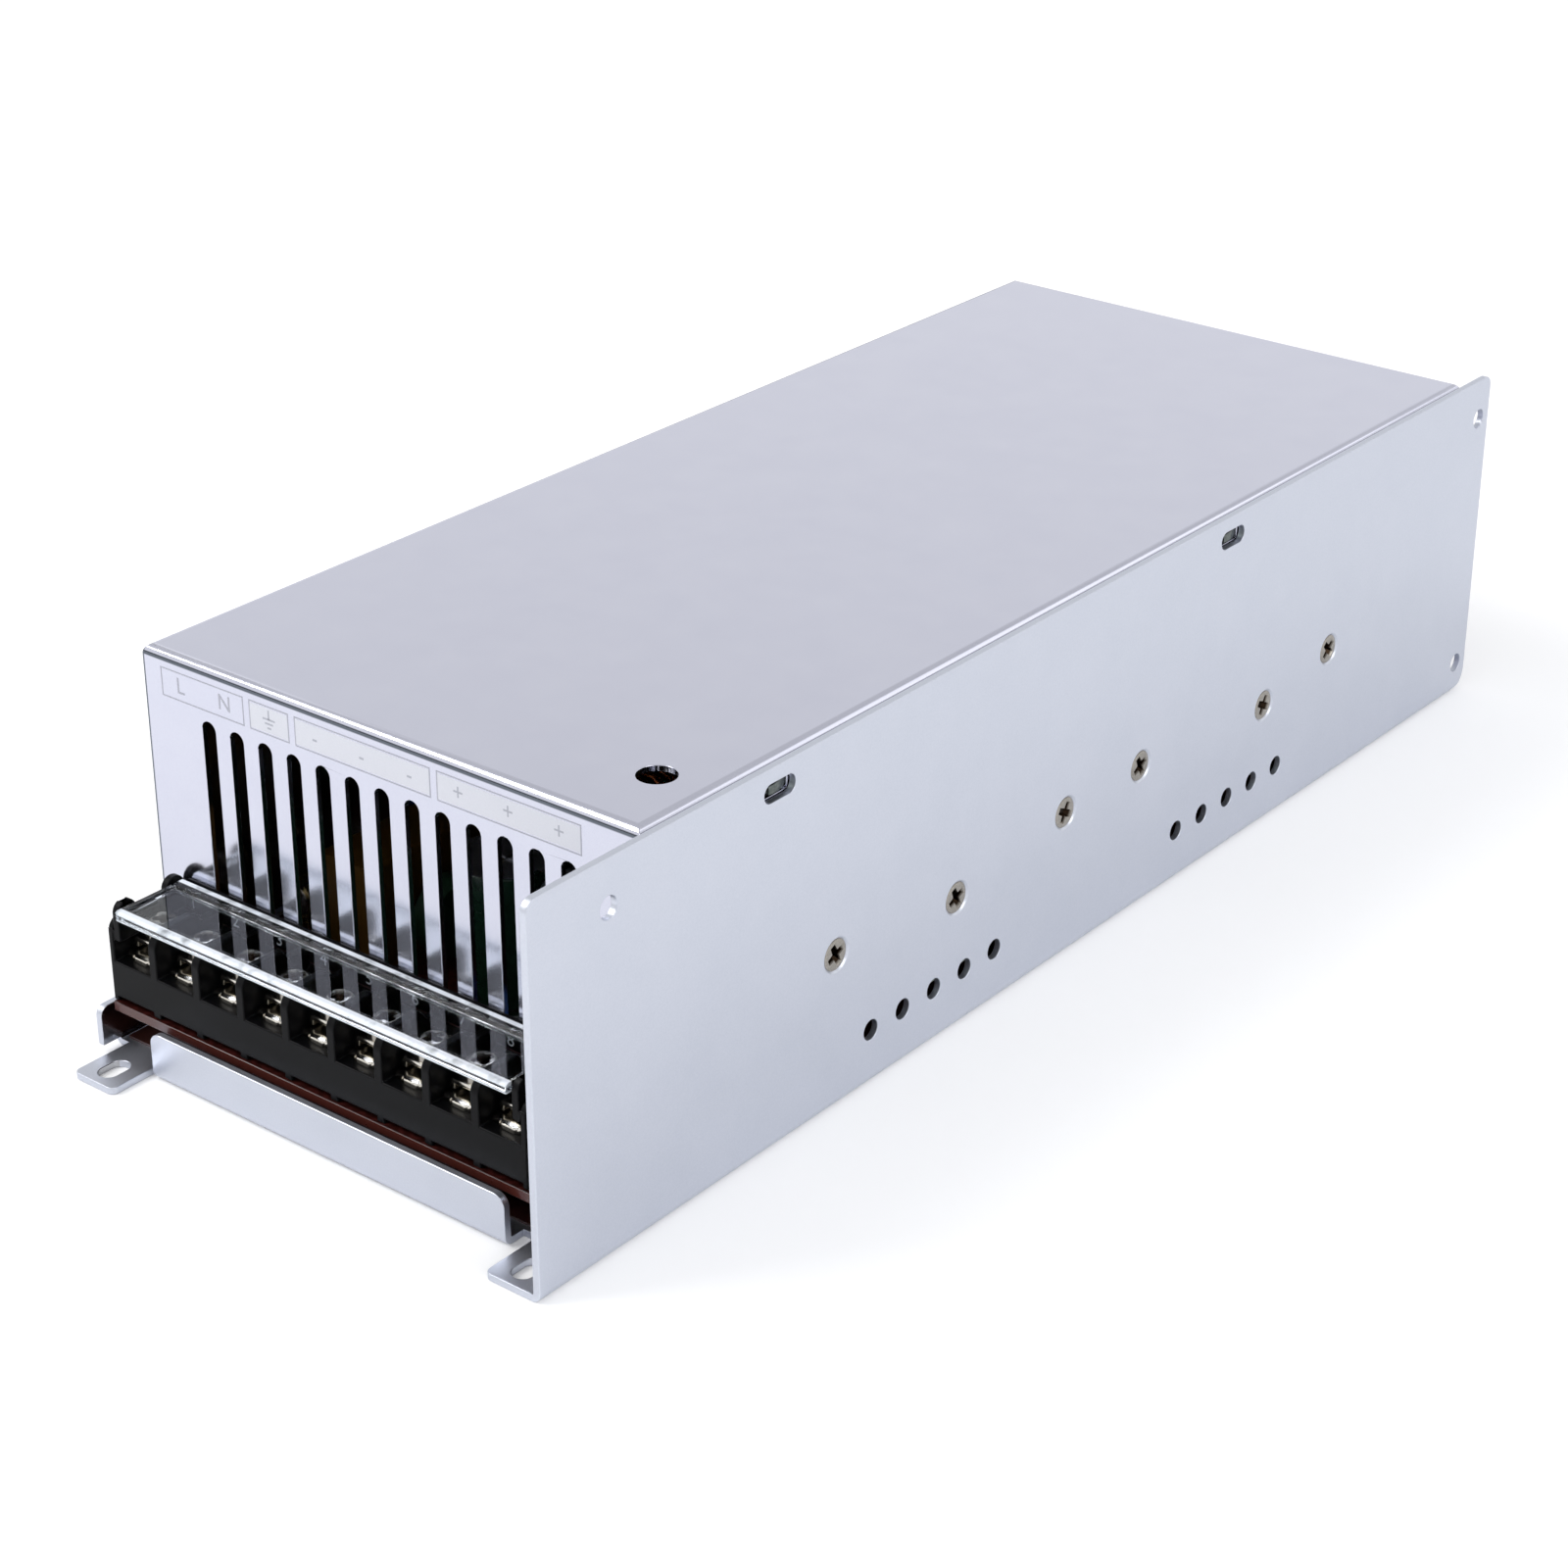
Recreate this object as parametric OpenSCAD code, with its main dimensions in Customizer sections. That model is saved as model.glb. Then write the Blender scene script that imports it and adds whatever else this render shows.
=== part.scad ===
// Enclosed switching power supply: a bent aluminium chassis with a tall side plate,
// a folded sheet cover, a nine way screw terminal block under a clear flip cover,
// and a fan at the rear. Millimetres.
// X runs to the right when facing the terminals, Y runs from the terminals to the fan,
// Z is up, and the origin is the centre of the footprint, on the underside.

/* [Case] */
// Length of the side plate, front to rear
case_l = 260; // [256:1:290]
// Width across the cover and the side plate
case_w = 100; // [98:1:130]
// Height to the top of the cover
case_h = 63; // [63:0.5:80]
// Thickness of the chassis sheet
sheet_t = 1.2; // [1:0.1:1.5]
// Thickness of the cover sheet
cover_t = 1; // [0.8:0.1:1.1]
// Outside radius of the bends
bend_r = 1.6; // [1.6:0.1:2]
// How far the cover's top stands above the side plate
cover_rise = 0.5; // [0.2:0.1:1]
// Distance from the plate's front edge to the cover's front wall
front_bay = 24.1; // [23.8:0.1:26]
// Distance from the plate's rear edge to the cover's rear wall
rear_bay = 9; // [8:0.5:14]

/* [Chassis] */
// Height of the left flange that the cover is screwed to
flange_h = 8; // [6.6:0.2:9]
// Height of the front lip
lip_h = 8.3; // [5:0.1:8.6]
// Distance of the front lip's left end from the case's left side
lip_left = 13.8; // [13:0.1:20]
// Distance of the front lip's right end from the case's right side
lip_right = 13.2; // [11:0.1:20]
// Height of the rear lip
rear_lip_h = 4.2; // [3:0.1:4.4]
// Width of the rear lip
rear_lip_w = 36; // [20:1:40]
// Width of a mounting tab
tab_w = 8.8; // [7:0.2:9]
// How far the mounting tabs reach past the lip's outer face
tab_reach = 7.3; // [6.8:0.1:7.4]
// Distance of the left tabs from the case's left side
tab_left = 4; // [3:0.1:4]
// Width of a tab's slot
tab_slot_w = 3.4; // [3:0.1:4.5]
// Length of a tab's slot
tab_slot_l = 5.4; // [5:0.1:6]
// Distance from a tab's end to its slot's end
tab_slot_edge = 1.6; // [1.4:0.1:1.9]

/* [Side plate] */
// Diameter of the holes at the plate's corners
corner_hole_d = 3.5; // [3:0.1:4.5]
// Distance of the upper corner holes below the plate's top
corner_hole_drop = 7.5; // [6:0.5:12]
// Height of the lower rear corner hole
corner_hole_low = 6.2; // [6:0.1:8]
// Distance of the rear corner holes from the plate's rear edge
corner_hole_rear = 3.6; // [3.5:0.1:5]
// Distance of the front corner hole from the plate's front edge
corner_hole_front = 16.1; // [8:0.1:18]
// Radius of the plate's rear bottom corner
plate_corner_r = 4.5; // [2:0.5:5]
// Diameter of a vent hole
vent_d = 3.4; // [2.5:0.1:4]
// Spacing of the vent holes
vent_pitch = 8; // [6:0.5:8]
// Vent holes in a row
vent_n = 5; // [2:1:5]
// Height of the vent holes' centres
vent_z = 9.5; // [9.2:0.1:9.8]
// Length of the cover's hook slots
hook_slot_l = 7; // [6.5:0.1:9]
// Height of the cover's hook slots
hook_slot_h = 3; // [2.8:0.1:3.4]
// Distance of the hook slots' centres below the plate's top
hook_drop = 4; // [3.5:0.1:6]

/* [Cover] */
// Number of slots in the front wall
front_slot_n = 13; // [5:1:13]
// Spacing of the front slots
front_slot_pitch = 6; // [5:0.1:6]
// Width of a front slot
front_slot_w = 2.9; // [2:0.1:3.5]
// Distance of the first front slot from the case's left side
front_slot_x = 13.6; // [12:0.1:14]
// Distance from the cover's top to the front slots' upper ends
front_slot_top = 9.1; // [8:0.1:14]
// Height of the front slots' lower ends
front_slot_low = 14; // [12.5:0.1:20]
// Diameter of the hole above the trimmer
trimmer_hole_d = 6; // [5:0.1:8]
// Depth of the flange inside the side plate
hook_flange_h = 14; // [10:0.5:16]
// Fit of the cover in the chassis
cover_fit = 0.15; // [0.1:0.01:0.2]

/* [Terminals] */
// Number of terminals
term_n = 9; // [3:1:9]
// Spacing of the terminals
term_pitch = 9.5; // [9.2:0.1:9.5]
// Width of a terminal's bay
term_bay_w = 7.9; // [7.6:0.1:8.1]
// Height of the block's floor above the board
term_floor_h = 7; // [6.5:0.1:7.4]
// Height of the partitions above the board
term_wall_h = 14.2; // [14:0.1:14.6]
// Thickness of the block's end walls
term_end_t = 1; // [0.8:0.1:1.4]
// Distance of the block from the case's left side
term_x = 3.05; // [2.6:0.05:3.6]
// Distance of the block's front from the plate's front edge
term_y = 10; // [9.9:0.1:10.3]
// Diameter of a terminal screw's shank
term_screw_d = 3.5; // [3:0.1:3.5]
// Diameter of a terminal screw's head
term_head_d = 6; // [5.2:0.1:6.2]
// Side of a square clamp plate
clamp_w = 6.6; // [6.2:0.1:6.8]

/* [Terminal cover] */
// Thickness of the clear cover
flip_t = 1; // [0.8:0.1:1.2]
// Diameter of the clear cover's pins
flip_pin_d = 1.6; // [1.2:0.1:1.8]
// Height of the pins' axis above the board
flip_axis_h = 15.3; // [15.2:0.05:15.6]
// Radius of the block's ears
ear_r = 1.95; // [1.8:0.05:2]

/* [Board] */
// Thickness of the circuit board
board_t = 1.6; // [1.2:0.1:1.8]
// Height of the board's underside
board_z = 7.4; // [7.2:0.1:7.4]
// Diameter of a stand-off
standoff_d = 5; // [4:0.1:5.5]
// Thickness of the insulating film under the board
film_t = 0.4; // [0.2:0.1:0.6]

/* [Fan] */
// How much less than the case's height the fan's side is
fan_room = 3; // [2.9:0.1:5]
// Depth of the fan
fan_d = 20; // [18:1:22]
// Distance of the fan's screws from its sides
fan_screw_in = 5; // [5:0.1:5.5]
// Diameter of the fan's hub
hub_d = 25; // [22:1:28]
// Number of blades
blade_n = 7; // [5:1:9]
// Number of rings in the finger guard
guard_rings = 5; // [3:1:5]

/* [Mains parts] */
// Length of the fuse
fuse_l = 20; // [18:1:22]
// Diameter of the fuse's glass tube
fuse_d = 4.8; // [4:0.1:5.2]
// Length of the boxed film capacitor
film_cap_l = 26; // [20:1:28]
// Width of the boxed film capacitor
film_cap_w = 11; // [8:0.5:12]
// Height of the boxed film capacitor
film_cap_h = 19; // [14:1:22]
// Diameter of the thermistor's disc
thermistor_d = 13; // [9:0.5:14]
// Outer radius of the line filter's ring
filter_r = 13; // [11:0.2:13.4]
// Inner radius of the line filter's ring
filter_bore_r = 7.5; // [6:0.1:8]
// Height of the line filter's ring
filter_h = 13; // [9:0.5:16]
// Thickness of the line filter's winding
filter_wire_t = 2; // [1:0.1:2.2]
// Width of the bridge rectifier
bridge_w = 30; // [24:1:32]
// Height of the bridge rectifier
bridge_h = 20; // [16:1:24]
// Thickness of the bridge rectifier
bridge_t = 4.6; // [3.6:0.1:5]
// Diameter of a bulk capacitor
bulk_d = 30; // [25:0.5:30]
// Height of a bulk capacitor
bulk_h = 42; // [30:1:44]

/* [Output parts] */
// Width of the transformer's core
core_w = 44; // [40:1:46]
// Height of the transformer's core
core_h = 40; // [32:1:42]
// Depth of the transformer's core
core_d = 18; // [12:1:20]
// Width of the core's middle leg
core_leg = 16; // [12:1:17]
// Width of the core's outer legs and yokes
core_side = 6; // [5:0.5:7]
// How far the winding stands out of the core, front and rear
winding_out = 7.5; // [5:0.5:8]
// Outer radius of the output choke's ring
choke_r = 14.2; // [12:0.2:14.6]
// Inner radius of the output choke's ring
choke_bore_r = 8.2; // [7:0.1:9]
// Height of the output choke's ring
choke_h = 12; // [8:0.5:14]
// Thickness of the output choke's winding
choke_wire_t = 2.2; // [1.2:0.1:2.4]
// Diameter of an output capacitor
out_cap_d = 16; // [10:0.5:16]
// Height of an output capacitor
out_cap_h = 26; // [20:1:36]
// Length of the control card
card_l = 38; // [24:1:40]
// Height of the control card
card_h = 27; // [20:1:40]

/* [Hidden] */

$fn = 48;
eps = 0.01;
far = 400;

// Planes of the case
left = -case_w / 2;
right = case_w / 2;
front = -case_l / 2;
rear = case_l / 2;
plate_in = right - sheet_t;
plate_top = case_h - cover_rise;
cover_front = front + front_bay;
cover_rear = rear - rear_bay;
cover_right = plate_in - cover_fit;
tray_left = left + cover_t + 0.05;
lip_front = front + tab_reach;
base_corner = lip_front + 3.8;
left_tab_x = left + tab_left + tab_w / 2;
right_tab_x = plate_in - 0.5 - tab_w / 2;
rear_lip_in = cover_rear + 0.2;
rear_lip_out = rear_lip_in + sheet_t;
board_top = board_z + board_t;
corner_hole_top = plate_top - corner_hole_drop;

// Hooks, screws and vents along the side
hook_y = [-77.4, 41.9];
hook_z = plate_top - hook_drop;
big_y = [-64.2, -4.7, 17, 77.1];
small_y = [-34, 55.7];
big_z = 26.1;
small_z = 23;
vent_y = [-55.6, 29];
m3_d = 2.9;
m3_hole = 3;
m3_head_d = 5.6;
sink_gap = 0.15;
cover_screw_y0 = cover_front + 17.9;
cover_screw_y1 = cover_rear - 25;
cover_screw_y = [cover_screw_y0, (cover_screw_y0 + cover_screw_y1) / 2, cover_screw_y1];
cover_screw_z = 4;

// Terminal block
block_w = term_n * term_pitch - (term_pitch - term_bay_w) + 2 * term_end_t;
block_x0 = left + term_x;
block_x1 = block_x0 + block_w;
block_front = front + term_y;
block_rear = cover_front - 0.2;
block_d = block_rear - block_front;
floor_z = board_top + term_floor_h;
wall_z = board_top + term_wall_h;
foot_h = 0.8;
term_x0 = block_x0 + term_end_t + term_bay_w / 2;
screw_y = block_front + 6.9;
tongue_t = 1;
clamp_t = 0.8;
clamp_lift = 1.3;
clamp_z = floor_z + tongue_t + clamp_lift;
axis_y = block_rear - 2.05;
axis_z = board_top + flip_axis_h;
ear_t = 1.3;
ear_in = 2.55;
flip_gap = 0.3;
flip_x0 = block_x0 + ear_in + flip_gap;
flip_x1 = block_x1 - ear_in - flip_gap;
flip_front = block_front - 0.6;
flip_top = axis_z + 1.2;
flip_rear = axis_y + 1.5;

// Fan and board
fan_w = case_h - fan_room;
fan_pitch = fan_w - 2 * fan_screw_in;
fan_y1 = cover_rear - cover_t - 0.1;
fan_y0 = fan_y1 - fan_d;
fan_z = sheet_t + 0.4 + fan_w / 2;
board_x0 = left + 3.3;
board_x1 = plate_in - 2.6;
board_y0 = block_front - 0.4;
board_y1 = fan_y0 - 5.8;

// Devices clamped to the plate
trimmer_w = 9.6;
trimmer_x = plate_in - 9.3;
trimmer_y = cover_front + 14.3;
led_x = (block_x1 + plate_in) / 2;
led_y = block_front + 7;
pad_t = 0.3;
dev_x = plate_in - pad_t;
big_w = 15.8;
big_h = 20.8;
big_t = 5;
big_hole_up = 6.1;
small_w = 10;
small_h = 15.6;
small_tt = 4.4;
small_hole_up = 2.8;
dev_face = dev_x - big_t;

// What stands on the board forms a left and a right column of rows, front to rear.
// The rows of a column share the free length between the front wall and the fan evenly.
run_y0 = cover_front + cover_t;
out_cap_gap = 1.6;
left_rows = [film_cap_l, 2 * (filter_r + filter_wire_t), bridge_t, bulk_d, bulk_d];
right_rows = [2 * out_cap_d + out_cap_gap, 2 * (choke_r + choke_wire_t), core_d + 2 * winding_out, card_l];
function sum(v, n) = n <= 0 ? 0 : v[n - 1] + sum(v, n - 1);
function row_gap(rows) = (fan_y0 - run_y0 - sum(rows, len(rows))) / (len(rows) + 1);
function row_y(rows, i) = run_y0 + (i + 1) * row_gap(rows) + sum(rows, i) + rows[i] / 2;
function mid(a, b) = (a + b) / 2;

fuse_x = left + 10;
fuse_y = row_y(left_rows, 0);
fuse_z = board_top + 6;
film_cap_x = left + 19 + film_cap_w / 2;
thermistor_t = 4.6;
thermistor_x = left + 32.3 + thermistor_t / 2;
disc_x = left + 7.4;
disc_pitch = 8;
filter_x = left + 12 + filter_r + filter_wire_t;
filter_y = row_y(left_rows, 1);
bridge_x = left + 10.5 + bridge_w / 2;
bridge_y = row_y(left_rows, 2);
bulk_x = left + 5 + bulk_d / 2;
bulk_gap = 4;
bulk_at = [[bulk_x, row_y(left_rows, 3)], [bulk_x, row_y(left_rows, 4)],
    [bulk_x + bulk_d + bulk_gap, row_y(right_rows, 3)]];
out_cap_x = mid(thermistor_x + thermistor_t / 2, trimmer_x - trimmer_w / 2);
out_cap_at = [for (sx = [-1, 1], sy = [-1, 1])
    [out_cap_x, row_y(right_rows, 0)] + [sx, sy] * (out_cap_d + out_cap_gap) / 2];
choke_x = mid(filter_x + filter_r + filter_wire_t, dev_face);
choke_y = row_y(right_rows, 1);
core_x = mid(bridge_x + bridge_w / 2, dev_face);
core_y = row_y(right_rows, 2);
core_lift = 3;
card_t = 1.2;
card_x = mid(bulk_at[2][0] + bulk_d / 2, dev_face) - card_t / 2;
card_y = row_y(right_rows, 3);
// stand-offs in the gaps between the rows, and at the board's rear corners
standoff_at = [[left + 7.5, board_y1 - 8], [board_x1 - 5.5, board_y1 - 8],
    [left + 7, row_y(left_rows, 0) + (film_cap_l + row_gap(left_rows)) / 2],
    [left + 7, row_y(left_rows, 2) - (bridge_t + row_gap(left_rows)) / 2],
    [board_x1 - 5.5, row_y(right_rows, 1) - (right_rows[1] + row_gap(right_rows)) / 2],
    [board_x1 - 3.9, cover_front + 5]];

// Voltage selector
selector_y = -7;
selector_z = 32;
selector_l = 20;
selector_hh = 11;
selector_travel = 5;

// A rectangle with round corners, centred
module round_rect(w, h, r) {
    square([w - 2 * r, h], center = true);
    square([w, h - 2 * r], center = true);
    for (sx = [-1, 1], sy = [-1, 1])
        translate([sx * (w / 2 - r), sy * (h / 2 - r)]) circle(r);
}

// A slot with round ends along the first axis, centred
module slot(l, w) {
    square([l - w, w], center = true);
    for (s = [-1, 1]) translate([s * (l - w) / 2, 0]) circle(w / 2);
}

// A quarter ring of sheet for a bend, its centre at the origin, in the lower right quarter
module bend(r, t) {
    intersection() {
        difference() {
            circle(r);
            circle(r - t);
        }
        translate([0, -r]) square(r);
    }
}

// What a round corner leaves outside itself: the corner is at the origin, towards -x and -y
module corner_waste(r) {
    difference() {
        translate([-r, -r]) square(2 * r);
        translate([-r, -r]) circle(r);
        translate([-3 * r, -3 * r]) square([2 * r, 4 * r]);
        translate([-3 * r, -3 * r]) square([4 * r, 2 * r]);
    }
}

// Stands a drawing of the YZ plane up along X, from x0 over a length
module along_x(x0, l) {
    translate([x0, 0, 0]) rotate([90, 0, 90]) linear_extrude(l) children();
}

// Stands a drawing of the XZ plane up along Y, from y0 over a length
module along_y(y0, l) {
    translate([0, y0 + l, 0]) rotate([90, 0, 0]) linear_extrude(l) children();
}

// A box from one corner to the other
module block(a, b) {
    translate(a) cube(b - a);
}

// ---------- chassis: base, side plate, flange, lips and tabs from one sheet ----------

module tab_outline(x, y_end) {
    // from inside the base out to the tab's end, about the tab's middle
    l = 2 * (abs(y_end) - abs(base_corner) + 1);
    intersection() {
        translate([x, y_end < 0 ? y_end + l / 2 : y_end - l / 2]) round_rect(tab_w, l, 1.2);
        translate([x - tab_w, y_end < 0 ? y_end : y_end - l / 2]) square([2 * tab_w, l / 2]);
    }
}

module base_outline() {
    translate([tray_left + bend_r, base_corner])
        square([right - bend_r - tray_left - bend_r, -2 * base_corner]);
    // front edge under the lip, and the rear edge under the rear lip
    translate([left + lip_left, lip_front + bend_r])
        square([case_w - lip_left - lip_right, case_l / 2]);
    translate([-rear_lip_w / 2, 0]) square([rear_lip_w, rear_lip_out - bend_r]);
    for (y = [front, rear]) tab_outline(left_tab_x, y);
    tab_outline(right_tab_x, front);
    tab_outline(right_tab_x - 0.3, rear);
    // the front right tab runs into the plate's bend
    translate([right_tab_x, front]) square([right - bend_r - right_tab_x, tab_reach + 4]);
}

module tab_slots() {
    y = rear - tab_slot_edge - tab_slot_l / 2;
    for (x = [left_tab_x, right_tab_x], s = [-1, 1])
        translate([x, s * y]) rotate(90) slot(tab_slot_l, tab_slot_w);
}

module side_plate() {
    difference() {
        union() {
            translate([plate_in, front, bend_r]) cube([sheet_t, case_l, plate_top - bend_r]);
            along_y(front, case_l)
                translate([right - bend_r, bend_r]) bend(bend_r, sheet_t);
        }
        // round corners, seen from the side
        along_x(plate_in - bend_r, 2 * bend_r + sheet_t) {
            translate([rear, plate_top]) corner_waste(2);
            translate([front, plate_top]) mirror([1, 0]) corner_waste(2);
            translate([rear, 0]) mirror([0, 1]) corner_waste(plate_corner_r);
        }
        // hook slots
        for (y = hook_y) along_x(plate_in - 1, sheet_t + 2)
            translate([y, hook_z]) slot(hook_slot_l, hook_slot_h);
        // corner holes
        for (p = [[front + corner_hole_front, corner_hole_top],
                  [rear - corner_hole_rear, corner_hole_top],
                  [rear - corner_hole_rear, corner_hole_low]])
            translate([plate_in - 1, p[0], p[1]]) rotate([0, 90, 0])
                cylinder(d = corner_hole_d, h = sheet_t + 2);
        // vents
        for (y0 = vent_y, i = [0 : vent_n - 1])
            translate([plate_in - 1, y0 + i * vent_pitch, vent_z]) rotate([0, 90, 0])
                cylinder(d = vent_d, h = sheet_t + 2);
        // countersunk holes of the side screws
        for (p = side_screw_at()) translate([right, p[0], p[1]]) rotate([0, -90, 0]) {
            translate([0, 0, -1]) cylinder(d = m3_hole + 0.2, h = sheet_t + 2);
            cylinder(d1 = m3_head_d + 2 * sink_gap, d2 = m3_hole + 0.2,
                h = (m3_head_d + 2 * sink_gap - m3_hole - 0.2) / 2);
        }
    }
}

function side_screw_at() = concat([for (y = big_y) [y, big_z]], [for (y = small_y) [y, small_z]]);

module left_flange() {
    // its front end reaches past the bend as an ear; its rear end stops inside the cover
    y0 = lip_front + 0.4;
    y1 = cover_rear - cover_t - 0.2;
    ear_low = 1.4;
    difference() {
        union() {
            translate([tray_left, y0, ear_low]) cube([sheet_t, y1 - y0, flange_h - ear_low]);
            along_y(base_corner, -2 * base_corner)
                translate([tray_left + bend_r, bend_r]) mirror([1, 0]) bend(bend_r, sheet_t);
        }
        along_x(tray_left - 1, sheet_t + 2) {
            translate([y1, flange_h]) corner_waste(1.6);
            translate([y0, flange_h]) mirror([1, 0]) corner_waste(1.6);
        }
        // the bend has no material outside its own radius
        along_y(base_corner, -2 * base_corner) difference() {
            translate([tray_left - 1, -1]) square([1 + bend_r, 1 + bend_r]);
            translate([tray_left + bend_r, bend_r]) circle(bend_r);
        }
        for (y = cover_screw_y) translate([tray_left - 1, y, cover_screw_z]) rotate([0, 90, 0])
            cylinder(d = m3_hole, h = sheet_t + 2);
    }
}

module lip(y_out, x0, x1, h, r, dir) {
    // dir is 1 for the front lip and -1 for the rear one
    intersection() {
        along_x(x0, x1 - x0) translate([y_out, 0]) mirror([dir < 0 ? 1 : 0, 0]) {
            translate([0, bend_r]) square([sheet_t, h - bend_r]);
            translate([bend_r, bend_r]) mirror([1, 0]) bend(bend_r, sheet_t);
        }
        along_y(y_out - 2 * bend_r, 4 * bend_r) {
            translate([(x0 + x1) / 2, h / 2]) round_rect(x1 - x0, h, r);
            translate([x0, 0]) square([x1 - x0, h / 2]);
        }
    }
}

module chassis() {
    color("#d4dae4") {
        difference() {
            linear_extrude(sheet_t) base_outline();
            translate([0, 0, -1]) linear_extrude(sheet_t + 2) tab_slots();
            // the base stops where the plate's bend begins
            translate([right - bend_r, front - 1, -1]) cube([bend_r + 1, case_l + 2, sheet_t + 2]);
            for (p = standoff_at) translate([p[0], p[1], -1]) cylinder(d = m3_hole, h = sheet_t + 2);
        }
        side_plate();
        left_flange();
        lip(lip_front, left + lip_left, right - lip_right, lip_h, 2, 1);
        lip(rear_lip_out, -rear_lip_w / 2, rear_lip_w / 2, rear_lip_h, 1.5, -1);
    }
}

// ---------- cover: top, left, front and rear walls and the hook flange ----------

module cover_solid(inset) {
    // the block that the cover wraps, shrunk by inset, with round upper edges
    r = max(bend_r - inset, 0.3);
    x0 = left + inset;
    x1 = cover_right - inset;
    y0 = cover_front + inset;
    y1 = cover_rear - inset;
    z1 = case_h - inset;
    z0 = -10;
    intersection() {
        along_y(y0, y1 - y0) {
            translate([(x0 + x1) / 2, (z0 + z1) / 2]) round_rect(x1 - x0, z1 - z0, r);
        }
        along_x(x0, x1 - x0) {
            translate([(y0 + y1) / 2, (z0 + z1) / 2]) round_rect(y1 - y0, z1 - z0, r);
        }
    }
}

module finger_guard() {
    // rings of arc slots with four spokes, drawn flat about the fan's centre
    first = 5;
    web = 1.5;
    gap = (fan_w / 2 - 3.4 - first) / guard_rings - web;
    difference() {
        for (i = [0 : guard_rings - 1]) difference() {
            circle(first + i * (gap + web) + gap);
            circle(first + i * (gap + web));
        }
        for (a = [45, 135]) rotate(a) square([fan_w * 2, 2.4], center = true);
    }
}

module hook(y) {
    // a short tongue pressed out of the flange into the plate's slot
    along_x(cover_right - 0.2, sheet_t + cover_fit - 0.1) translate([y, hook_z])
        slot(hook_slot_l - 1.4, hook_slot_h - 1);
}

module cover() {
    wall_low = board_top + 1;
    seam = 0.15;
    color("#c6c8d4") difference() {
        union() {
            difference() {
                cover_solid(0);
                cover_solid(cover_t);
                // left wall ends above the floor, rear wall above the base
                translate([-far / 2, -far / 2, -20]) cube([far, far, 20.6]);
                translate([left + cover_t, cover_rear - cover_t - 1, -1])
                    cube([case_w, cover_t + 2, 1 + sheet_t + 0.3]);
                // front wall ends above the board
                translate([left - 1, cover_front - 1, -1])
                    cube([case_w + 2, cover_t + 1 + seam, wall_low + 1]);
                // the right side is only a flange inside the plate
                translate([cover_right - cover_t - 0.5, cover_front - 1, -1])
                    cube([cover_t + 1, case_l, case_h - hook_flange_h + 1]);
                // seams between the walls, and reliefs at the upper corners
                for (y = [cover_front + cover_t, cover_rear - cover_t - seam])
                    translate([left - 1, y, -1]) cube([cover_t + 1.01, seam, case_h - bend_r]);
                for (y = [cover_front - 1, cover_rear - cover_t - seam - 1.2])
                    translate([cover_right - cover_t - 0.6, y, -1])
                        cube([cover_t + 2, cover_t + 2.2 + seam, case_h - 1.1]);
            }
            for (y = hook_y) hook(y);
        }
        // front slots
        along_y(cover_front - 1, cover_t + 2) for (i = [0 : front_slot_n - 1])
            translate([left + front_slot_x + i * front_slot_pitch,
                       (case_h - front_slot_top + front_slot_low) / 2])
                rotate(90) slot(case_h - front_slot_top - front_slot_low, front_slot_w);
        // trimmer hole
        translate([trimmer_x, trimmer_y, case_h - 2]) cylinder(d = trimmer_hole_d, h = 4);
        // finger guard and the fan's screw holes
        along_y(cover_rear - cover_t - 1, cover_t + 2) translate([0, fan_z]) {
            finger_guard();
            for (sx = [-1, 1], sz = [-1, 1]) translate([sx, sz] * fan_pitch / 2) circle(d = 4.4);
        }
        // vents, screw holes and the selector's window in the left wall
        for (y0 = vent_y, i = [0 : vent_n - 1])
            translate([left - 1, y0 + i * vent_pitch, vent_z + 4]) rotate([0, 90, 0])
                cylinder(d = vent_d, h = cover_t + 2);
        for (y = cover_screw_y) translate([left - 1, y, cover_screw_z]) rotate([0, 90, 0])
            cylinder(d = m3_hole + 0.3, h = cover_t + 2);
        translate([left - 1, selector_y - 6.75, selector_z - 3.25]) cube([cover_t + 2, 13.5, 6.5]);
    }
}

// ---------- fasteners ----------

module cross_recess(d, depth) {
    for (a = [0, 90]) rotate(a) translate([-d / 2, -d / 12, -depth]) cube([d, d / 6, depth + 1]);
}

// A pan head screw along +Z, its head's underside at zero, the shank going down
module pan_screw(d, l, head_d, head_h) {
    difference() {
        union() {
            translate([0, 0, -l]) cylinder(d = d, h = l + 0.2);
            cylinder(d = head_d, h = head_h * 0.45);
            translate([0, 0, head_h * 0.45])
                cylinder(d1 = head_d, d2 = head_d * 0.62, h = head_h * 0.55);
        }
        translate([0, 0, head_h]) cross_recess(head_d * 0.56, head_h * 0.6);
    }
}

module cover_screws() {
    color("#b9b6ae") for (y = cover_screw_y)
        translate([left, y, cover_screw_z]) rotate([0, -90, 0]) pan_screw(m3_d, 4, 5.6, 1.8);
}

module side_screws() {
    // from the plate's outside through the pad and the device into a nut
    color("#c9c4ba") for (p = side_screw_at()) {
        reach = sheet_t + pad_t + (p[1] == big_z ? big_t : 1.3) + 3;
        head_h = (m3_head_d - m3_d) / 2;
        translate([right - 0.05, p[0], p[1]]) rotate([0, -90, 0]) difference() {
            union() {
                cylinder(d1 = m3_head_d, d2 = m3_d, h = head_h);
                cylinder(d = m3_d, h = reach);
            }
            mirror([0, 0, 1]) cross_recess(m3_head_d * 0.6, 0.9);
        }
    }
}

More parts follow.
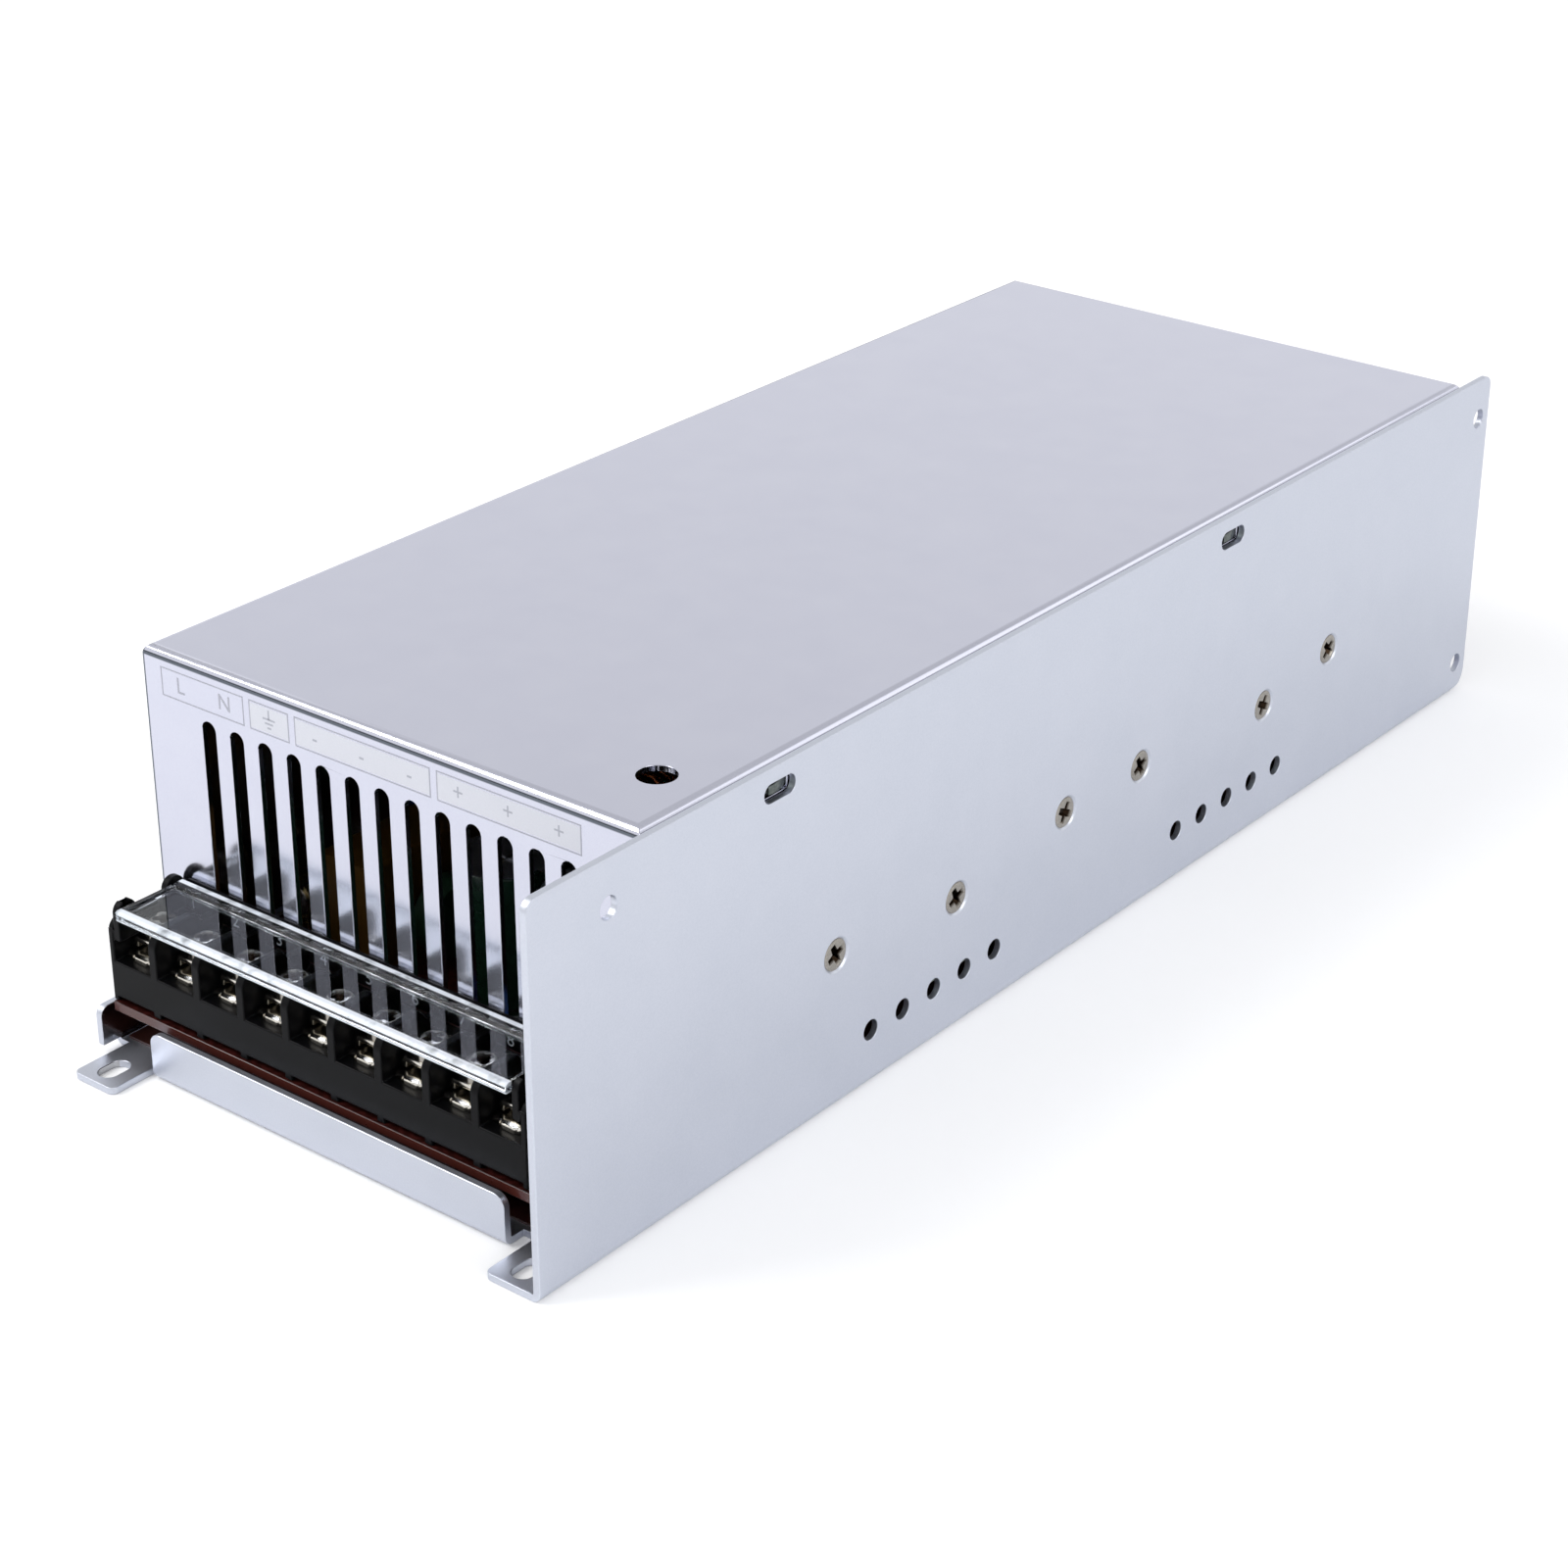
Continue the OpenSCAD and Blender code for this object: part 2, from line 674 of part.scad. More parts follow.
module device_nuts() {
    color("#c4c4c4") for (p = side_screw_at()) {
        t = p[1] == big_z ? big_t : 1.3;
        translate([dev_x - t, p[0], p[1]]) rotate([0, -90, 0]) difference() {
            union() {
                cylinder(d = 6.4, h = 0.5);
                translate([0, 0, 0.5]) cylinder(d = 6.2, h = 2.2, $fn = 6);
            }
            translate([0, 0, -1]) cylinder(d = m3_hole, h = 5);
        }
    }
}

module board_screws() {
    color("#b9b6ae") for (p = standoff_at)
        translate([p[0], p[1], board_top]) pan_screw(m3_d, 4, 5.4, 1.8);
}

module board_standoffs() {
    // hexagonal posts with a stud through the base
    base = sheet_t + film_t;
    color("#c8b273") for (p = standoff_at) translate([p[0], p[1], 0]) difference() {
        union() {
            translate([0, 0, base]) cylinder(d = standoff_d, h = board_z - base, $fn = 6);
            translate([0, 0, 0.1]) cylinder(d = m3_d, h = base);
        }
        translate([0, 0, board_z - 4.4]) cylinder(d = m3_hole, h = 5);
    }
}

// ---------- film and board ----------

module insulating_film() {
    color("#e9e7dd") difference() {
        block([tray_left + 2, base_corner + 1, sheet_t], [plate_in - 1, fan_y0 - 1, sheet_t + film_t]);
        for (p = standoff_at) translate([p[0], p[1], 0]) cylinder(d = m3_d + 0.4, h = 5);
    }
}

module circuit_board() {
    color("#7a2a22") difference() {
        block([board_x0, board_y0, board_z], [board_x1, board_y1, board_top]);
        for (p = standoff_at) translate([p[0], p[1], board_z - 1])
            cylinder(d = m3_hole + 0.2, h = board_t + 2);
    }
}

// ---------- terminals ----------

module wall_profile() {
    // a partition seen from the side: round at the front, stepped down at the rear
    r = 2.4;
    step = 1.7;
    step_y = axis_y - ear_r - step;
    translate([block_front, floor_z - 1]) square([block_d, wall_z - step - r - floor_z + 1]);
    translate([block_front + r, wall_z - r]) circle(r);
    translate([block_front + r, floor_z]) square([step_y - block_front - r, wall_z - floor_z]);
    translate([block_front, floor_z]) square([r + 1, wall_z - r - floor_z]);
    polygon([[step_y - eps, wall_z], [step_y + step, wall_z - step], [block_rear, wall_z - step],
             [block_rear, floor_z], [step_y - eps, floor_z]]);
}

module ear(y, open) {
    // a round ear for the clear cover's pin; the front one is open above, as a catch
    z = axis_z;
    difference() {
        along_x(0, ear_t) {
            translate([y, z]) circle(ear_r);
            translate([y - ear_r, wall_z - 2.2]) square([2 * ear_r, z - wall_z + 2.2]);
        }
        translate([-1, y, z]) rotate([0, 90, 0]) cylinder(d = flip_pin_d + 0.1, h = ear_t + 2);
        if (open) translate([-1, y - flip_pin_d * 0.4, z]) cube([ear_t + 2, flip_pin_d * 0.8, 5]);
    }
}

module terminal_block() {
    part_t = term_pitch - term_bay_w;
    catch_y = block_front + block_rear - axis_y;
    color("#26272b") difference() {
        union() {
            // body, raised on feet
            block([block_x0, block_front, board_top + foot_h], [block_x1, block_rear, floor_z]);
            for (i = [0 : term_n]) {
                x = i == 0 ? block_x0 : i == term_n ? block_x1 - term_end_t
                    : term_x0 + (i - 0.5) * term_pitch - part_t / 2;
                t = i == 0 || i == term_n ? term_end_t : part_t;
                along_x(x, t) wall_profile();
                block([x, block_front, board_top], [x + t, block_rear, board_top + foot_h + eps]);
            }
            // the sloping shelf behind the terminals carries their numbers
            along_x(block_x0, block_w) polygon([[screw_y + clamp_w / 2 + 0.5, floor_z - eps],
                [block_rear, floor_z + 3.1], [block_rear, floor_z - eps]]);
            // each end wall is thicker under its two ears
            for (s = [0, 1], y = [catch_y, axis_y]) {
                x = s == 0 ? block_x0 : block_x1 - ear_in;
                block([x, y - ear_r, wall_z - 3.5], [x + ear_in, y + ear_r, wall_z - 1.7]);
                translate([s == 0 ? block_x0 + ear_in - ear_t : block_x1 - ear_in, 0, 0])
                    ear(y, y == catch_y);
            }
        }
        // room for the screws' ends under the tongues
        for (i = [0 : term_n - 1])
            translate([term_x0 + i * term_pitch, screw_y, board_top + 2])
                cylinder(d = term_screw_d + 0.6, h = term_floor_h);
    }
}

module terminal_tongues() {
    // a plated strip on the floor of each bay, with a narrow nose towards the wire
    nose = 3.4;
    color("#c9c2b2") for (i = [0 : term_n - 1]) translate([term_x0 + i * term_pitch, 0, floor_z])
        linear_extrude(tongue_t) difference() {
            union() {
                translate([0, screw_y - 0.4]) square([term_bay_w - 0.8, clamp_w], center = true);
                translate([-nose / 2, block_front + 1.6]) square([nose, screw_y - block_front - 1.6]);
            }
            translate([0, screw_y]) circle(d = term_screw_d + 0.1);
        }
}

module terminal_clamps() {
    // square washers with turned-down cheeks, held up under the screws' heads
    color("#cfcbc2") for (i = [0 : term_n - 1])
        translate([term_x0 + i * term_pitch, screw_y, clamp_z]) difference() {
            union() {
                translate([-clamp_w / 2, -clamp_w / 2, 0]) cube([clamp_w, clamp_w, clamp_t]);
                for (s = [-1, 1]) translate([s * (clamp_w / 2 - 0.4) - 0.4, -clamp_w / 2, -0.9])
                    cube([0.8, clamp_w, 1]);
            }
            translate([0, 0, -2]) cylinder(d = term_screw_d + 0.2, h = 4);
        }
}

module terminal_screws() {
    color("#c2bdb3") for (i = [0 : term_n - 1])
        translate([term_x0 + i * term_pitch, screw_y, clamp_z + clamp_t])
            pan_screw(term_screw_d, 7, term_head_d, 2.3);
}

module terminal_cover() {
    rim_w = 1.8;
    rim_z = wall_z + 0.6;
    w = flip_x1 - flip_x0;
    color([0.86, 0.93, 0.98, 0.35]) {
        along_x(flip_x0, w) {
            // thin roof between a deep front rim and the rear hinge rib
            translate([flip_front, flip_top - 0.3 - flip_t]) square([flip_rear - flip_front, flip_t]);
            translate([flip_front + 0.6, rim_z]) square([rim_w - 0.6, flip_top - rim_z]);
            translate([flip_front, rim_z]) square([rim_w, flip_top - rim_z - 0.6]);
            translate([flip_front + 0.6, flip_top - 0.6]) circle(0.6);
            translate([axis_y, axis_z]) circle(1.2);
            translate([axis_y - 1.2, axis_z]) square([2.4, flip_top - axis_z]);
        }
        // end walls
        for (x = [flip_x0, flip_x1 - 1])
            block([x, flip_front + 0.7, rim_z + 0.2], [x + 1, axis_y, flip_top]);
        // pins
        for (x = [flip_x0 - flip_gap - ear_t + 0.1, flip_x1 - eps])
            translate([x, axis_y, axis_z]) rotate([0, 90, 0])
                cylinder(d = flip_pin_d, h = flip_gap + ear_t - 0.1 + eps);
    }
}

// ---------- trimmer and lamp ----------

module trimmer_body() {
    color("#2f5fa8") translate([trimmer_x, trimmer_y, board_top]) difference() {
        translate([-trimmer_w / 2, -trimmer_w / 2, 0]) cube([trimmer_w, trimmer_w, 5]);
        translate([0, 0, 3]) cylinder(d = 5, h = 3);
        translate([0, 0, 1.5]) cylinder(d = 2.1, h = 3);
    }
}

module trimmer_rotor() {
    color("#e8e6de") translate([trimmer_x, trimmer_y, board_top]) difference() {
        union() {
            translate([0, 0, 3.3]) cylinder(d = 4.3, h = 2.1);
            translate([0, 0, 1.9]) cylinder(d = 2, h = 2);
        }
        translate([-1.8, -0.4, 4.6]) cube([3.6, 0.8, 2]);
    }
}

module status_led() {
    color("#3fae55") translate([led_x, led_y, board_top]) {
        cylinder(d = 3.8, h = 1);
        cylinder(d = 3, h = 3.6);
        translate([0, 0, 3.6]) sphere(d = 3);
    }
}

// ---------- mains side ----------

module fuse_tube() {
    color([0.85, 0.9, 0.9, 0.6]) translate([fuse_x, fuse_y, fuse_z]) rotate([90, 0, 0])
        cylinder(d = fuse_d, h = fuse_l - 2, center = true);
}

fuse_cap_l = 5;
fuse_cap_d = fuse_d + 0.5;

module fuse_caps() {
    color("#c9c9c9") for (s = [-1, 1])
        translate([fuse_x, fuse_y + s * (fuse_l - fuse_cap_l) / 2, fuse_z]) rotate([90, 0, 0]) difference() {
            cylinder(d = fuse_cap_d, h = fuse_cap_l, center = true);
            translate([0, 0, s]) cylinder(d = fuse_d, h = fuse_cap_l, center = true);
        }
}

module fuse_clips() {
    // spring clips, open above, on a hollow foot
    t = 0.45;
    foot = fuse_cap_d - 0.9;
    mouth = foot - 2 * t - 0.5;
    color("#c2b48a") for (s = [-1, 1]) translate([fuse_x, fuse_y + s * (fuse_l - fuse_cap_l) / 2, 0])
        along_y(-2, 4) difference() {
            union() {
                translate([0, fuse_z]) circle(d = fuse_cap_d + 2 * t);
                translate([-foot / 2, board_top]) square([foot, fuse_z - board_top]);
            }
            translate([0, fuse_z]) circle(d = fuse_cap_d);
            translate([-mouth / 2, fuse_z]) square([mouth, fuse_cap_d]);
            translate([t - foot / 2, board_top + 0.6])
                square([foot - 2 * t, fuse_z - board_top - fuse_cap_d / 2 - 0.8]);
        }
}

module filter_capacitor() {
    // boxed film capacitor beside the fuse
    color("#d99a1c") translate([film_cap_x, row_y(left_rows, 0), board_top + film_cap_h / 2]) difference() {
        rotate([90, 0, 0]) linear_extrude(film_cap_l, center = true) round_rect(film_cap_w, film_cap_h, 0.8);
        // shallow recess underneath
        translate([0, 0, -film_cap_h / 2]) cube([film_cap_w - 3, film_cap_l - 2, 0.6], center = true);
    }
}

module safety_capacitors() {
    // small ceramic discs on their edges
    color("#2d66b4") for (i = [-1, 0, 1]) translate([disc_x, filter_y + i * disc_pitch, board_top + 4.6]) {
        rotate([90, 0, 0]) rotate_extrude() {
            square([3, 1.6]);
            translate([3, 0.8]) circle(0.8);
            translate([0, -0.8]) square([2.6, 3.2]);
        }
        for (x = [-2.8, 2.2]) translate([x, -0.9, -4.6]) cube([0.6, 0.6, 3.2]);
    }
}

module thermistor() {
    // a disc held up on its two leads
    lead = 0.8;
    lift = 1.1;
    color("#1f3b2a") translate([thermistor_x, row_y(left_rows, 0), board_top]) {
        translate([0, 0, lift + thermistor_d / 2]) rotate([0, 90, 0])
            cylinder(d = thermistor_d, h = thermistor_t, center = true);
        for (s = [-1, 1]) translate([-lead / 2, s * thermistor_d * 0.3 - lead / 2, 0])
            cube([lead, lead, lift + thermistor_d * 0.25]);
    }
}

module ring(r0, r1, h) {
    difference() {
        cylinder(r = r1, h = h);
        translate([0, 0, -1]) cylinder(r = r0, h = h + 2);
    }
}

// Two part turns of winding around a ring core
module ring_winding(r0, r1, h, t, gap, span) {
    for (a = [0, 180]) rotate(a - span / 2) rotate_extrude(angle = span) difference() {
        translate([r0 - t, 0]) square([r1 - r0 + 2 * t, h + 2 * t]);
        translate([r0 - gap, t - gap]) square([r1 - r0 + 2 * gap, h + 2 * gap]);
    }
}

module line_filter_core() {
    color("#2c6b45") translate([filter_x, filter_y, board_top + filter_wire_t])
        ring(filter_bore_r, filter_r, filter_h);
}

module line_filter_windings() {
    color("#b5652a") translate([filter_x, filter_y, board_top])
        ring_winding(filter_bore_r, filter_r, filter_h, filter_wire_t, 0.05, 130);
}

module bridge_rectifier() {
    lift = 2.5;
    color("#222326") translate([bridge_x, bridge_y, board_top]) {
        difference() {
            translate([-bridge_w / 2, -bridge_t / 2, lift]) cube([bridge_w, bridge_t, bridge_h]);
            translate([0, bridge_t, lift + bridge_h * 0.72]) rotate([90, 0, 0])
                cylinder(d = 3.3, h = 2 * bridge_t);
        }
        for (k = [-3, -1, 1, 3]) translate([k * bridge_w / 8 - 0.6, -0.4, 0]) cube([1.2, 0.8, lift + 0.5]);
    }
}

// ---------- capacitors and wound parts ----------

// An electrolytic can on the board, with a rolled groove and a scored top
module can(d, h) {
    difference() {
        rotate_extrude() difference() {
            square([d / 2, h]);
            translate([d / 2 + 0.4, d * 0.12 + 1]) circle(0.9);
            translate([0, h - 0.5]) square([d / 2 - 1.2, 1]);
        }
        for (a = [0, 90]) rotate(a) translate([-d / 4, -0.3, h - 0.8]) cube([d / 2, 0.6, 1]);
    }
}

module bulk_capacitors() {
    color("#2a3550") for (p = bulk_at) translate([p[0], p[1], board_top]) can(bulk_d, bulk_h);
}

module output_capacitors() {
    color("#23402f") for (p = out_cap_at) translate([p[0], p[1], board_top]) can(out_cap_d, out_cap_h);
}

module transformer_core() {
    win = (core_w - core_leg - 2 * core_side) / 2;
    color("#34353a") translate([core_x, core_y - core_d / 2, board_top + core_lift]) difference() {
        translate([-core_w / 2, 0, 0]) cube([core_w, core_d, core_h]);
        for (s = [-1, 1]) translate([s * (core_leg + win) / 2 - win / 2, -1, core_side])
            cube([win, core_d + 2, core_h - 2 * core_side]);
    }
}

module transformer_winding() {
    // taped winding on a bobbin with two pin rails
    gap = 0.15;
    rail = 6.8;
    inner = [core_leg + 2 * gap, core_d + 2 * gap];
    outer = [core_w - 2 * core_side - 2 * gap, core_d + 2 * winding_out];
    low = board_top + core_lift + core_side + gap;
    h = core_h - 2 * core_side - 2 * gap;
    color("#d8b93a") translate([core_x, core_y, 0]) {
        translate([0, 0, low]) linear_extrude(h) difference() {
            round_rect(outer[0], outer[1], 4);
            square(inner, center = true);
        }
        for (s = [-1, 1]) translate([0, s * (outer[1] - rail) / 2, mid(board_top, low + 1)])
            cube([outer[0], rail - 0.4, low + 1 - board_top], center = true);
    }
}

module output_choke_core() {
    color("#d8c23c") translate([choke_x, choke_y, board_top + choke_wire_t])
        ring(choke_bore_r, choke_r, choke_h);
}

module output_choke_winding() {
    color("#b5652a") translate([choke_x, choke_y, board_top])
        ring_winding(choke_bore_r, choke_r, choke_h, choke_wire_t, 0.05, 160);
}

// ---------- devices clamped to the side plate ----------

// A moulded package against the plate: top leads down, hole on the screw's axis
module package(w, h, t, hole_up, tab_t, p) {
    top = p[1] + hole_up;
    low = top - h;
    difference() {
        union() {
            block([dev_x - tab_t, p[0] - w / 2, low + h * 0.35], [dev_x, p[0] + w / 2, top]);
            block([dev_x - t, p[0] - w / 2, low], [dev_x, p[0] + w / 2, tab_t < t ? top - 6 : top]);
            for (s = [-1, 0, 1]) block([dev_x - t / 2 - 0.4, p[0] + s * w * 0.32 - 0.5, board_top],
                                       [dev_x - t / 2 + 0.4, p[0] + s * w * 0.32 + 0.5, low + 1]);
        }
        translate([dev_x - t - 1, p[0], p[1]]) rotate([0, 90, 0]) cylinder(d = 3.5, h = t + 2);
    }
}

module power_devices() {
    color("#232427") for (y = big_y) package(big_w, big_h, big_t, big_hole_up, big_t, [y, big_z]);
}

module small_devices() {
    color("#2b2c30") for (y = small_y)
        package(small_w, small_h, small_tt, small_hole_up, 1.3, [y, small_z]);
}

module device_pads() {
    color("#9aa39c") for (p = side_screw_at()) {
        big = p[1] == big_z;
        w = (big ? big_w : small_w) + 2;
        up = (big ? big_hole_up : small_hole_up) + 1;
        h = (big ? big_h : small_h) + 1;
        translate([plate_in - pad_t, p[0], p[1]]) rotate([0, 90, 0]) linear_extrude(pad_t) difference() {
            translate([-up, -w / 2]) square([h + 0.4, w]);
            circle(d = 3.5);
        }
    }
}

// ---------- control card ----------

// A chip on the card's right face: its middle along the card and up it, and its size
module chip(along, up, size) {
    translate([card_x + card_t, card_y + along - size[1] / 2, board_top + up - size[2] / 2]) cube(size);
}

module control_board() {
    color("#2e6a3e") translate([card_x, card_y - card_l / 2, board_top]) cube([card_t, card_l, card_h]);
}

module control_chips() {
    color("#1d1e20") {
        chip(-6, card_h / 2, [1.7, 8, 10]);
        chip(7, card_h * 0.4, [1.5, 4, 5]);
    }
}

// ---------- fan ----------

duct_r = fan_w / 2 - 1.4;
boss_r = 4.2;
shaft_d = 3;
hub_gap = 0.5;
spider_t = 3;

module fan_frame() {
    // a square frame with a round duct, and a motor seat on four struts at the outlet
    color("#1f2023") translate([0, fan_y1, fan_z]) rotate([90, 0, 0]) {
        difference() {
            linear_extrude(fan_d) difference() {
                round_rect(fan_w, fan_w, 3);
                circle(duct_r);
                for (sx = [-1, 1], sy = [-1, 1]) translate([sx, sy] * fan_pitch / 2) circle(d = 4.2);
            }
            // the corners are flanges at each face only
            for (a = [0 : 90 : 270]) rotate(a) translate([fan_w / 2 - 9, fan_w / 2 - 9, 4])
                cube([10, 10, fan_d - 8]);
        }
        // motor seat
        difference() {
            union() {
                cylinder(d = hub_d, h = spider_t);
                cylinder(r = boss_r, h = fan_d - 5);
            }
            translate([0, 0, 1]) cylinder(d = shaft_d + 0.12, h = fan_d);
        }
        for (a = [20 : 90 : 290]) rotate(a) translate([hub_d / 2 - 1, -1.3, 0])
            cube([duct_r - hub_d / 2 + 1.8, 2.6, spider_t - 0.4]);
        // thin wall of the duct where the corners are open
        linear_extrude(fan_d) difference() {
            circle(duct_r + 1.2);
            circle(duct_r);
        }
    }
}

module blade(r0, r1) {
    // a cambered blade: an arc section drawn tangentially, extruded outwards
    chord_r = 17;
    intersection() {
        rotate([90, 0, 90]) linear_extrude(r1) translate([0, fan_d / 2 + 0.6]) rotate(-38)
            intersection() {
                translate([0, -chord_r]) difference() {
                    circle(chord_r + 0.7, $fn = 96);
                    circle(chord_r - 0.7, $fn = 96);
                }
                translate([-9, -4]) square([18, 6]);
            }
        translate([0, 0, spider_t + 1.2]) difference() {
            cylinder(r = r1, h = fan_d - spider_t - 2.4);
            translate([0, 0, -1]) cylinder(r = r0, h = fan_d);
        }
    }
}

module fan_rotor() {
    color("#2a2b2f") translate([0, fan_y1, fan_z]) rotate([90, 0, 0]) {
        // cup, open towards the motor
        difference() {
            translate([0, 0, spider_t + 1]) cylinder(d = hub_d - 0.6, h = fan_d - spider_t - 2);
            translate([0, 0, spider_t]) cylinder(d = hub_d - 3.4, h = fan_d - spider_t - 3);
        }
        // shaft
        translate([0, 0, 1.4]) cylinder(d = shaft_d, h = fan_d - 3.2);
        for (i = [0 : blade_n - 1]) rotate(i * 360 / blade_n) blade(hub_d / 2 - 0.9, duct_r - 1);
    }
}

module fan_stator() {
    color("#a86f3c") translate([0, fan_y1, fan_z]) rotate([90, 0, 0])
        translate([0, 0, spider_t]) ring(boss_r + 0.05, hub_d / 2 - 2.7, fan_d - spider_t - 5.5);
}

module fan_screws() {
    color("#3a3b3e") for (sx = [-1, 1], sz = [-1, 1])
        translate([sx * fan_pitch / 2, cover_rear, fan_z + sz * fan_pitch / 2]) rotate([-90, 0, 0])
            pan_screw(4, 9, 7, 2.4);
}

// ---------- mains voltage selector ----------

module selector_body() {
    // a box behind the wall, its mouth in the window
    x0 = left + cover_t;
    d = 9;
    color("#1f2023") difference() {
        union() {
            block([x0, selector_y - selector_l / 2, selector_z - selector_hh / 2],
                  [x0 + d, selector_y + selector_l / 2, selector_z + selector_hh / 2]);
            block([left + 0.1, selector_y - 6.6, selector_z - 3.1],
                  [x0 + 1, selector_y + 6.6, selector_z + 3.1]);
        }
        block([left - 1, selector_y - 5.6, selector_z - 2.2],
              [x0 + 6, selector_y + 5.6, selector_z + 2.2]);
        // wider channel that keeps the slider in
        block([x0 + 3, selector_y - 7.8, selector_z - 3.2], [x0 + 6, selector_y + 7.8, selector_z + 3.2]);
    }
}

module selector_slider() {
    x0 = left + cover_t;
    l = 5.6;
    y = selector_y - selector_travel / 2;
    color("#c8281e") difference() {
        union() {
            block([left + 0.5, y - l / 2, selector_z - 1.9], [x0 + 5.7, y + l / 2, selector_z + 1.9]);
            block([x0 + 3.3, y - l / 2 - 1.8, selector_z - 2.9],
                  [x0 + 5.7, y + l / 2 + 1.8, selector_z + 2.9]);
        }
        block([left, y - 0.6, selector_z - 3], [left + 1.3, y + 0.6, selector_z + 3]);
    }
}

chassis();
cover();
cover_screws();
side_screws();
device_nuts();
device_pads();
insulating_film();
circuit_board();
board_standoffs();
board_screws();
terminal_block();
terminal_tongues();
terminal_clamps();
terminal_screws();
terminal_cover();
trimmer_body();
trimmer_rotor();
status_led();
fuse_tube();
fuse_caps();
fuse_clips();
filter_capacitor();
safety_capacitors();
thermistor();
line_filter_core();
line_filter_windings();
bridge_rectifier();
bulk_capacitors();
transformer_core();
transformer_winding();
power_devices();
small_devices();
output_choke_core();
output_choke_winding();
output_capacitors();
control_board();
control_chips();
fan_frame();
fan_rotor();
fan_stator();
fan_screws();
selector_body();
selector_slider();
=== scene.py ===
"""An enclosed switching power supply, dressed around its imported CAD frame.

X runs to the right when facing the terminals, Y from the terminals to the fan, Z is up.
"""

import math

import bmesh
import bpy
from mathutils import Matrix, Vector


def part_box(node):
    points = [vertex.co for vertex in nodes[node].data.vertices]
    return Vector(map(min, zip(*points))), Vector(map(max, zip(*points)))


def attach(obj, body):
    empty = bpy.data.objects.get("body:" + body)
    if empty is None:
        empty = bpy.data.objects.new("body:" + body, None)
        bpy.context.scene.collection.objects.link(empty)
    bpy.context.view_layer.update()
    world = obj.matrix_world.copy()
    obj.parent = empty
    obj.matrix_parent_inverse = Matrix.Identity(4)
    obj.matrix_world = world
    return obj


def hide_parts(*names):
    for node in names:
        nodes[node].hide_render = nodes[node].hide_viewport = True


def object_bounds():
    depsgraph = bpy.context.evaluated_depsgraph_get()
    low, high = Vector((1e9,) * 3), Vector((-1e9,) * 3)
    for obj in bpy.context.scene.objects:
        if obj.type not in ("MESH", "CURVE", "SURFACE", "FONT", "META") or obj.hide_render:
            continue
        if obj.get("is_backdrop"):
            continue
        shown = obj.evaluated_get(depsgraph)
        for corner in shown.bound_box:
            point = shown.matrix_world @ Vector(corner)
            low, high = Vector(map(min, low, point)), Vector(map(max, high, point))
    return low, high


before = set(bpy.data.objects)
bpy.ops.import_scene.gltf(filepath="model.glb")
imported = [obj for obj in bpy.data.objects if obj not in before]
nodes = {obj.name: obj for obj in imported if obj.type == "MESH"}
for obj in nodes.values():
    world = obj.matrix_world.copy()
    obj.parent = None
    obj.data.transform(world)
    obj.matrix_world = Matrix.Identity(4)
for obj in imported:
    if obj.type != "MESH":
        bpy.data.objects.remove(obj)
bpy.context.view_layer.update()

# ---------------------------------------------------------------- studio
# A long-lens view of the terminal end from the right, over a plain pale floor.
# Two large soft lamps and a pale surround, which the sheet metal mirrors softly.

MM = 0.001


def linear(code):
    """The linear colour of an sRGB hex value."""
    channels = [int(code[i:i + 2], 16) / 255 for i in (1, 3, 5)]
    return [c / 12.92 if c <= 0.04045 else ((c + 0.055) / 1.055) ** 2.4 for c in channels] + [1.0]


def add(tree, kind, settings=None, links=None):
    """Adds a node, with its properties and inputs set by name and its inputs linked by name."""
    node = tree.nodes.new(kind)
    for name, value in (settings or {}).items():
        if isinstance(name, int) or name in node.inputs:
            node.inputs[name].default_value = value
        else:
            setattr(node, name, value)
    for name, source in (links or {}).items():
        tree.links.new(source, node.inputs[name])
    return node


def math_of(kind, a, b=0.0):
    """The outcome of a math node on a socket and a second socket or number."""
    settings, links = {"operation": kind}, {0: a}
    (settings if isinstance(b, (int, float)) else links)[1] = b
    return add(a.id_data, "ShaderNodeMath", settings, links).outputs[0]


def new_object(name, data, body=None):
    """Links an object to the scene, and lets it ride on a body."""
    piece = bpy.data.objects.new(name, data)
    bpy.context.scene.collection.objects.link(piece)
    if body:
        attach(piece, body)
    return piece


scene = bpy.context.scene
scene.view_settings.view_transform = "Standard"

VIEW_AZIMUTH = math.radians(38.63)
VIEW_ELEVATION = math.radians(26.29)
lens = bpy.data.cameras.new("camera")
lens.lens = 77.93
lens.clip_end = 20
camera = new_object("camera", lens)
camera.location = Vector((316.12, -409.61, 269.57)) * MM
camera.rotation_euler = (math.pi / 2 - VIEW_ELEVATION, 0, VIEW_AZIMUTH)
scene.camera = camera

# The surround: white where it is seen or mirrored, dimmer overhead, and a calm level of ambient light.
world = bpy.data.worlds.new("surround")
scene.world = world
world.use_nodes = True
tree = world.node_tree
tree.nodes.clear()
path = add(tree, "ShaderNodeLightPath")
mirrored = math_of("MAXIMUM", path.outputs["Is Glossy Ray"], path.outputs["Is Transmission Ray"])
place = add(tree, "ShaderNodeTexCoord")
height = add(tree, "ShaderNodeSeparateXYZ", links={0: place.outputs["Generated"]})
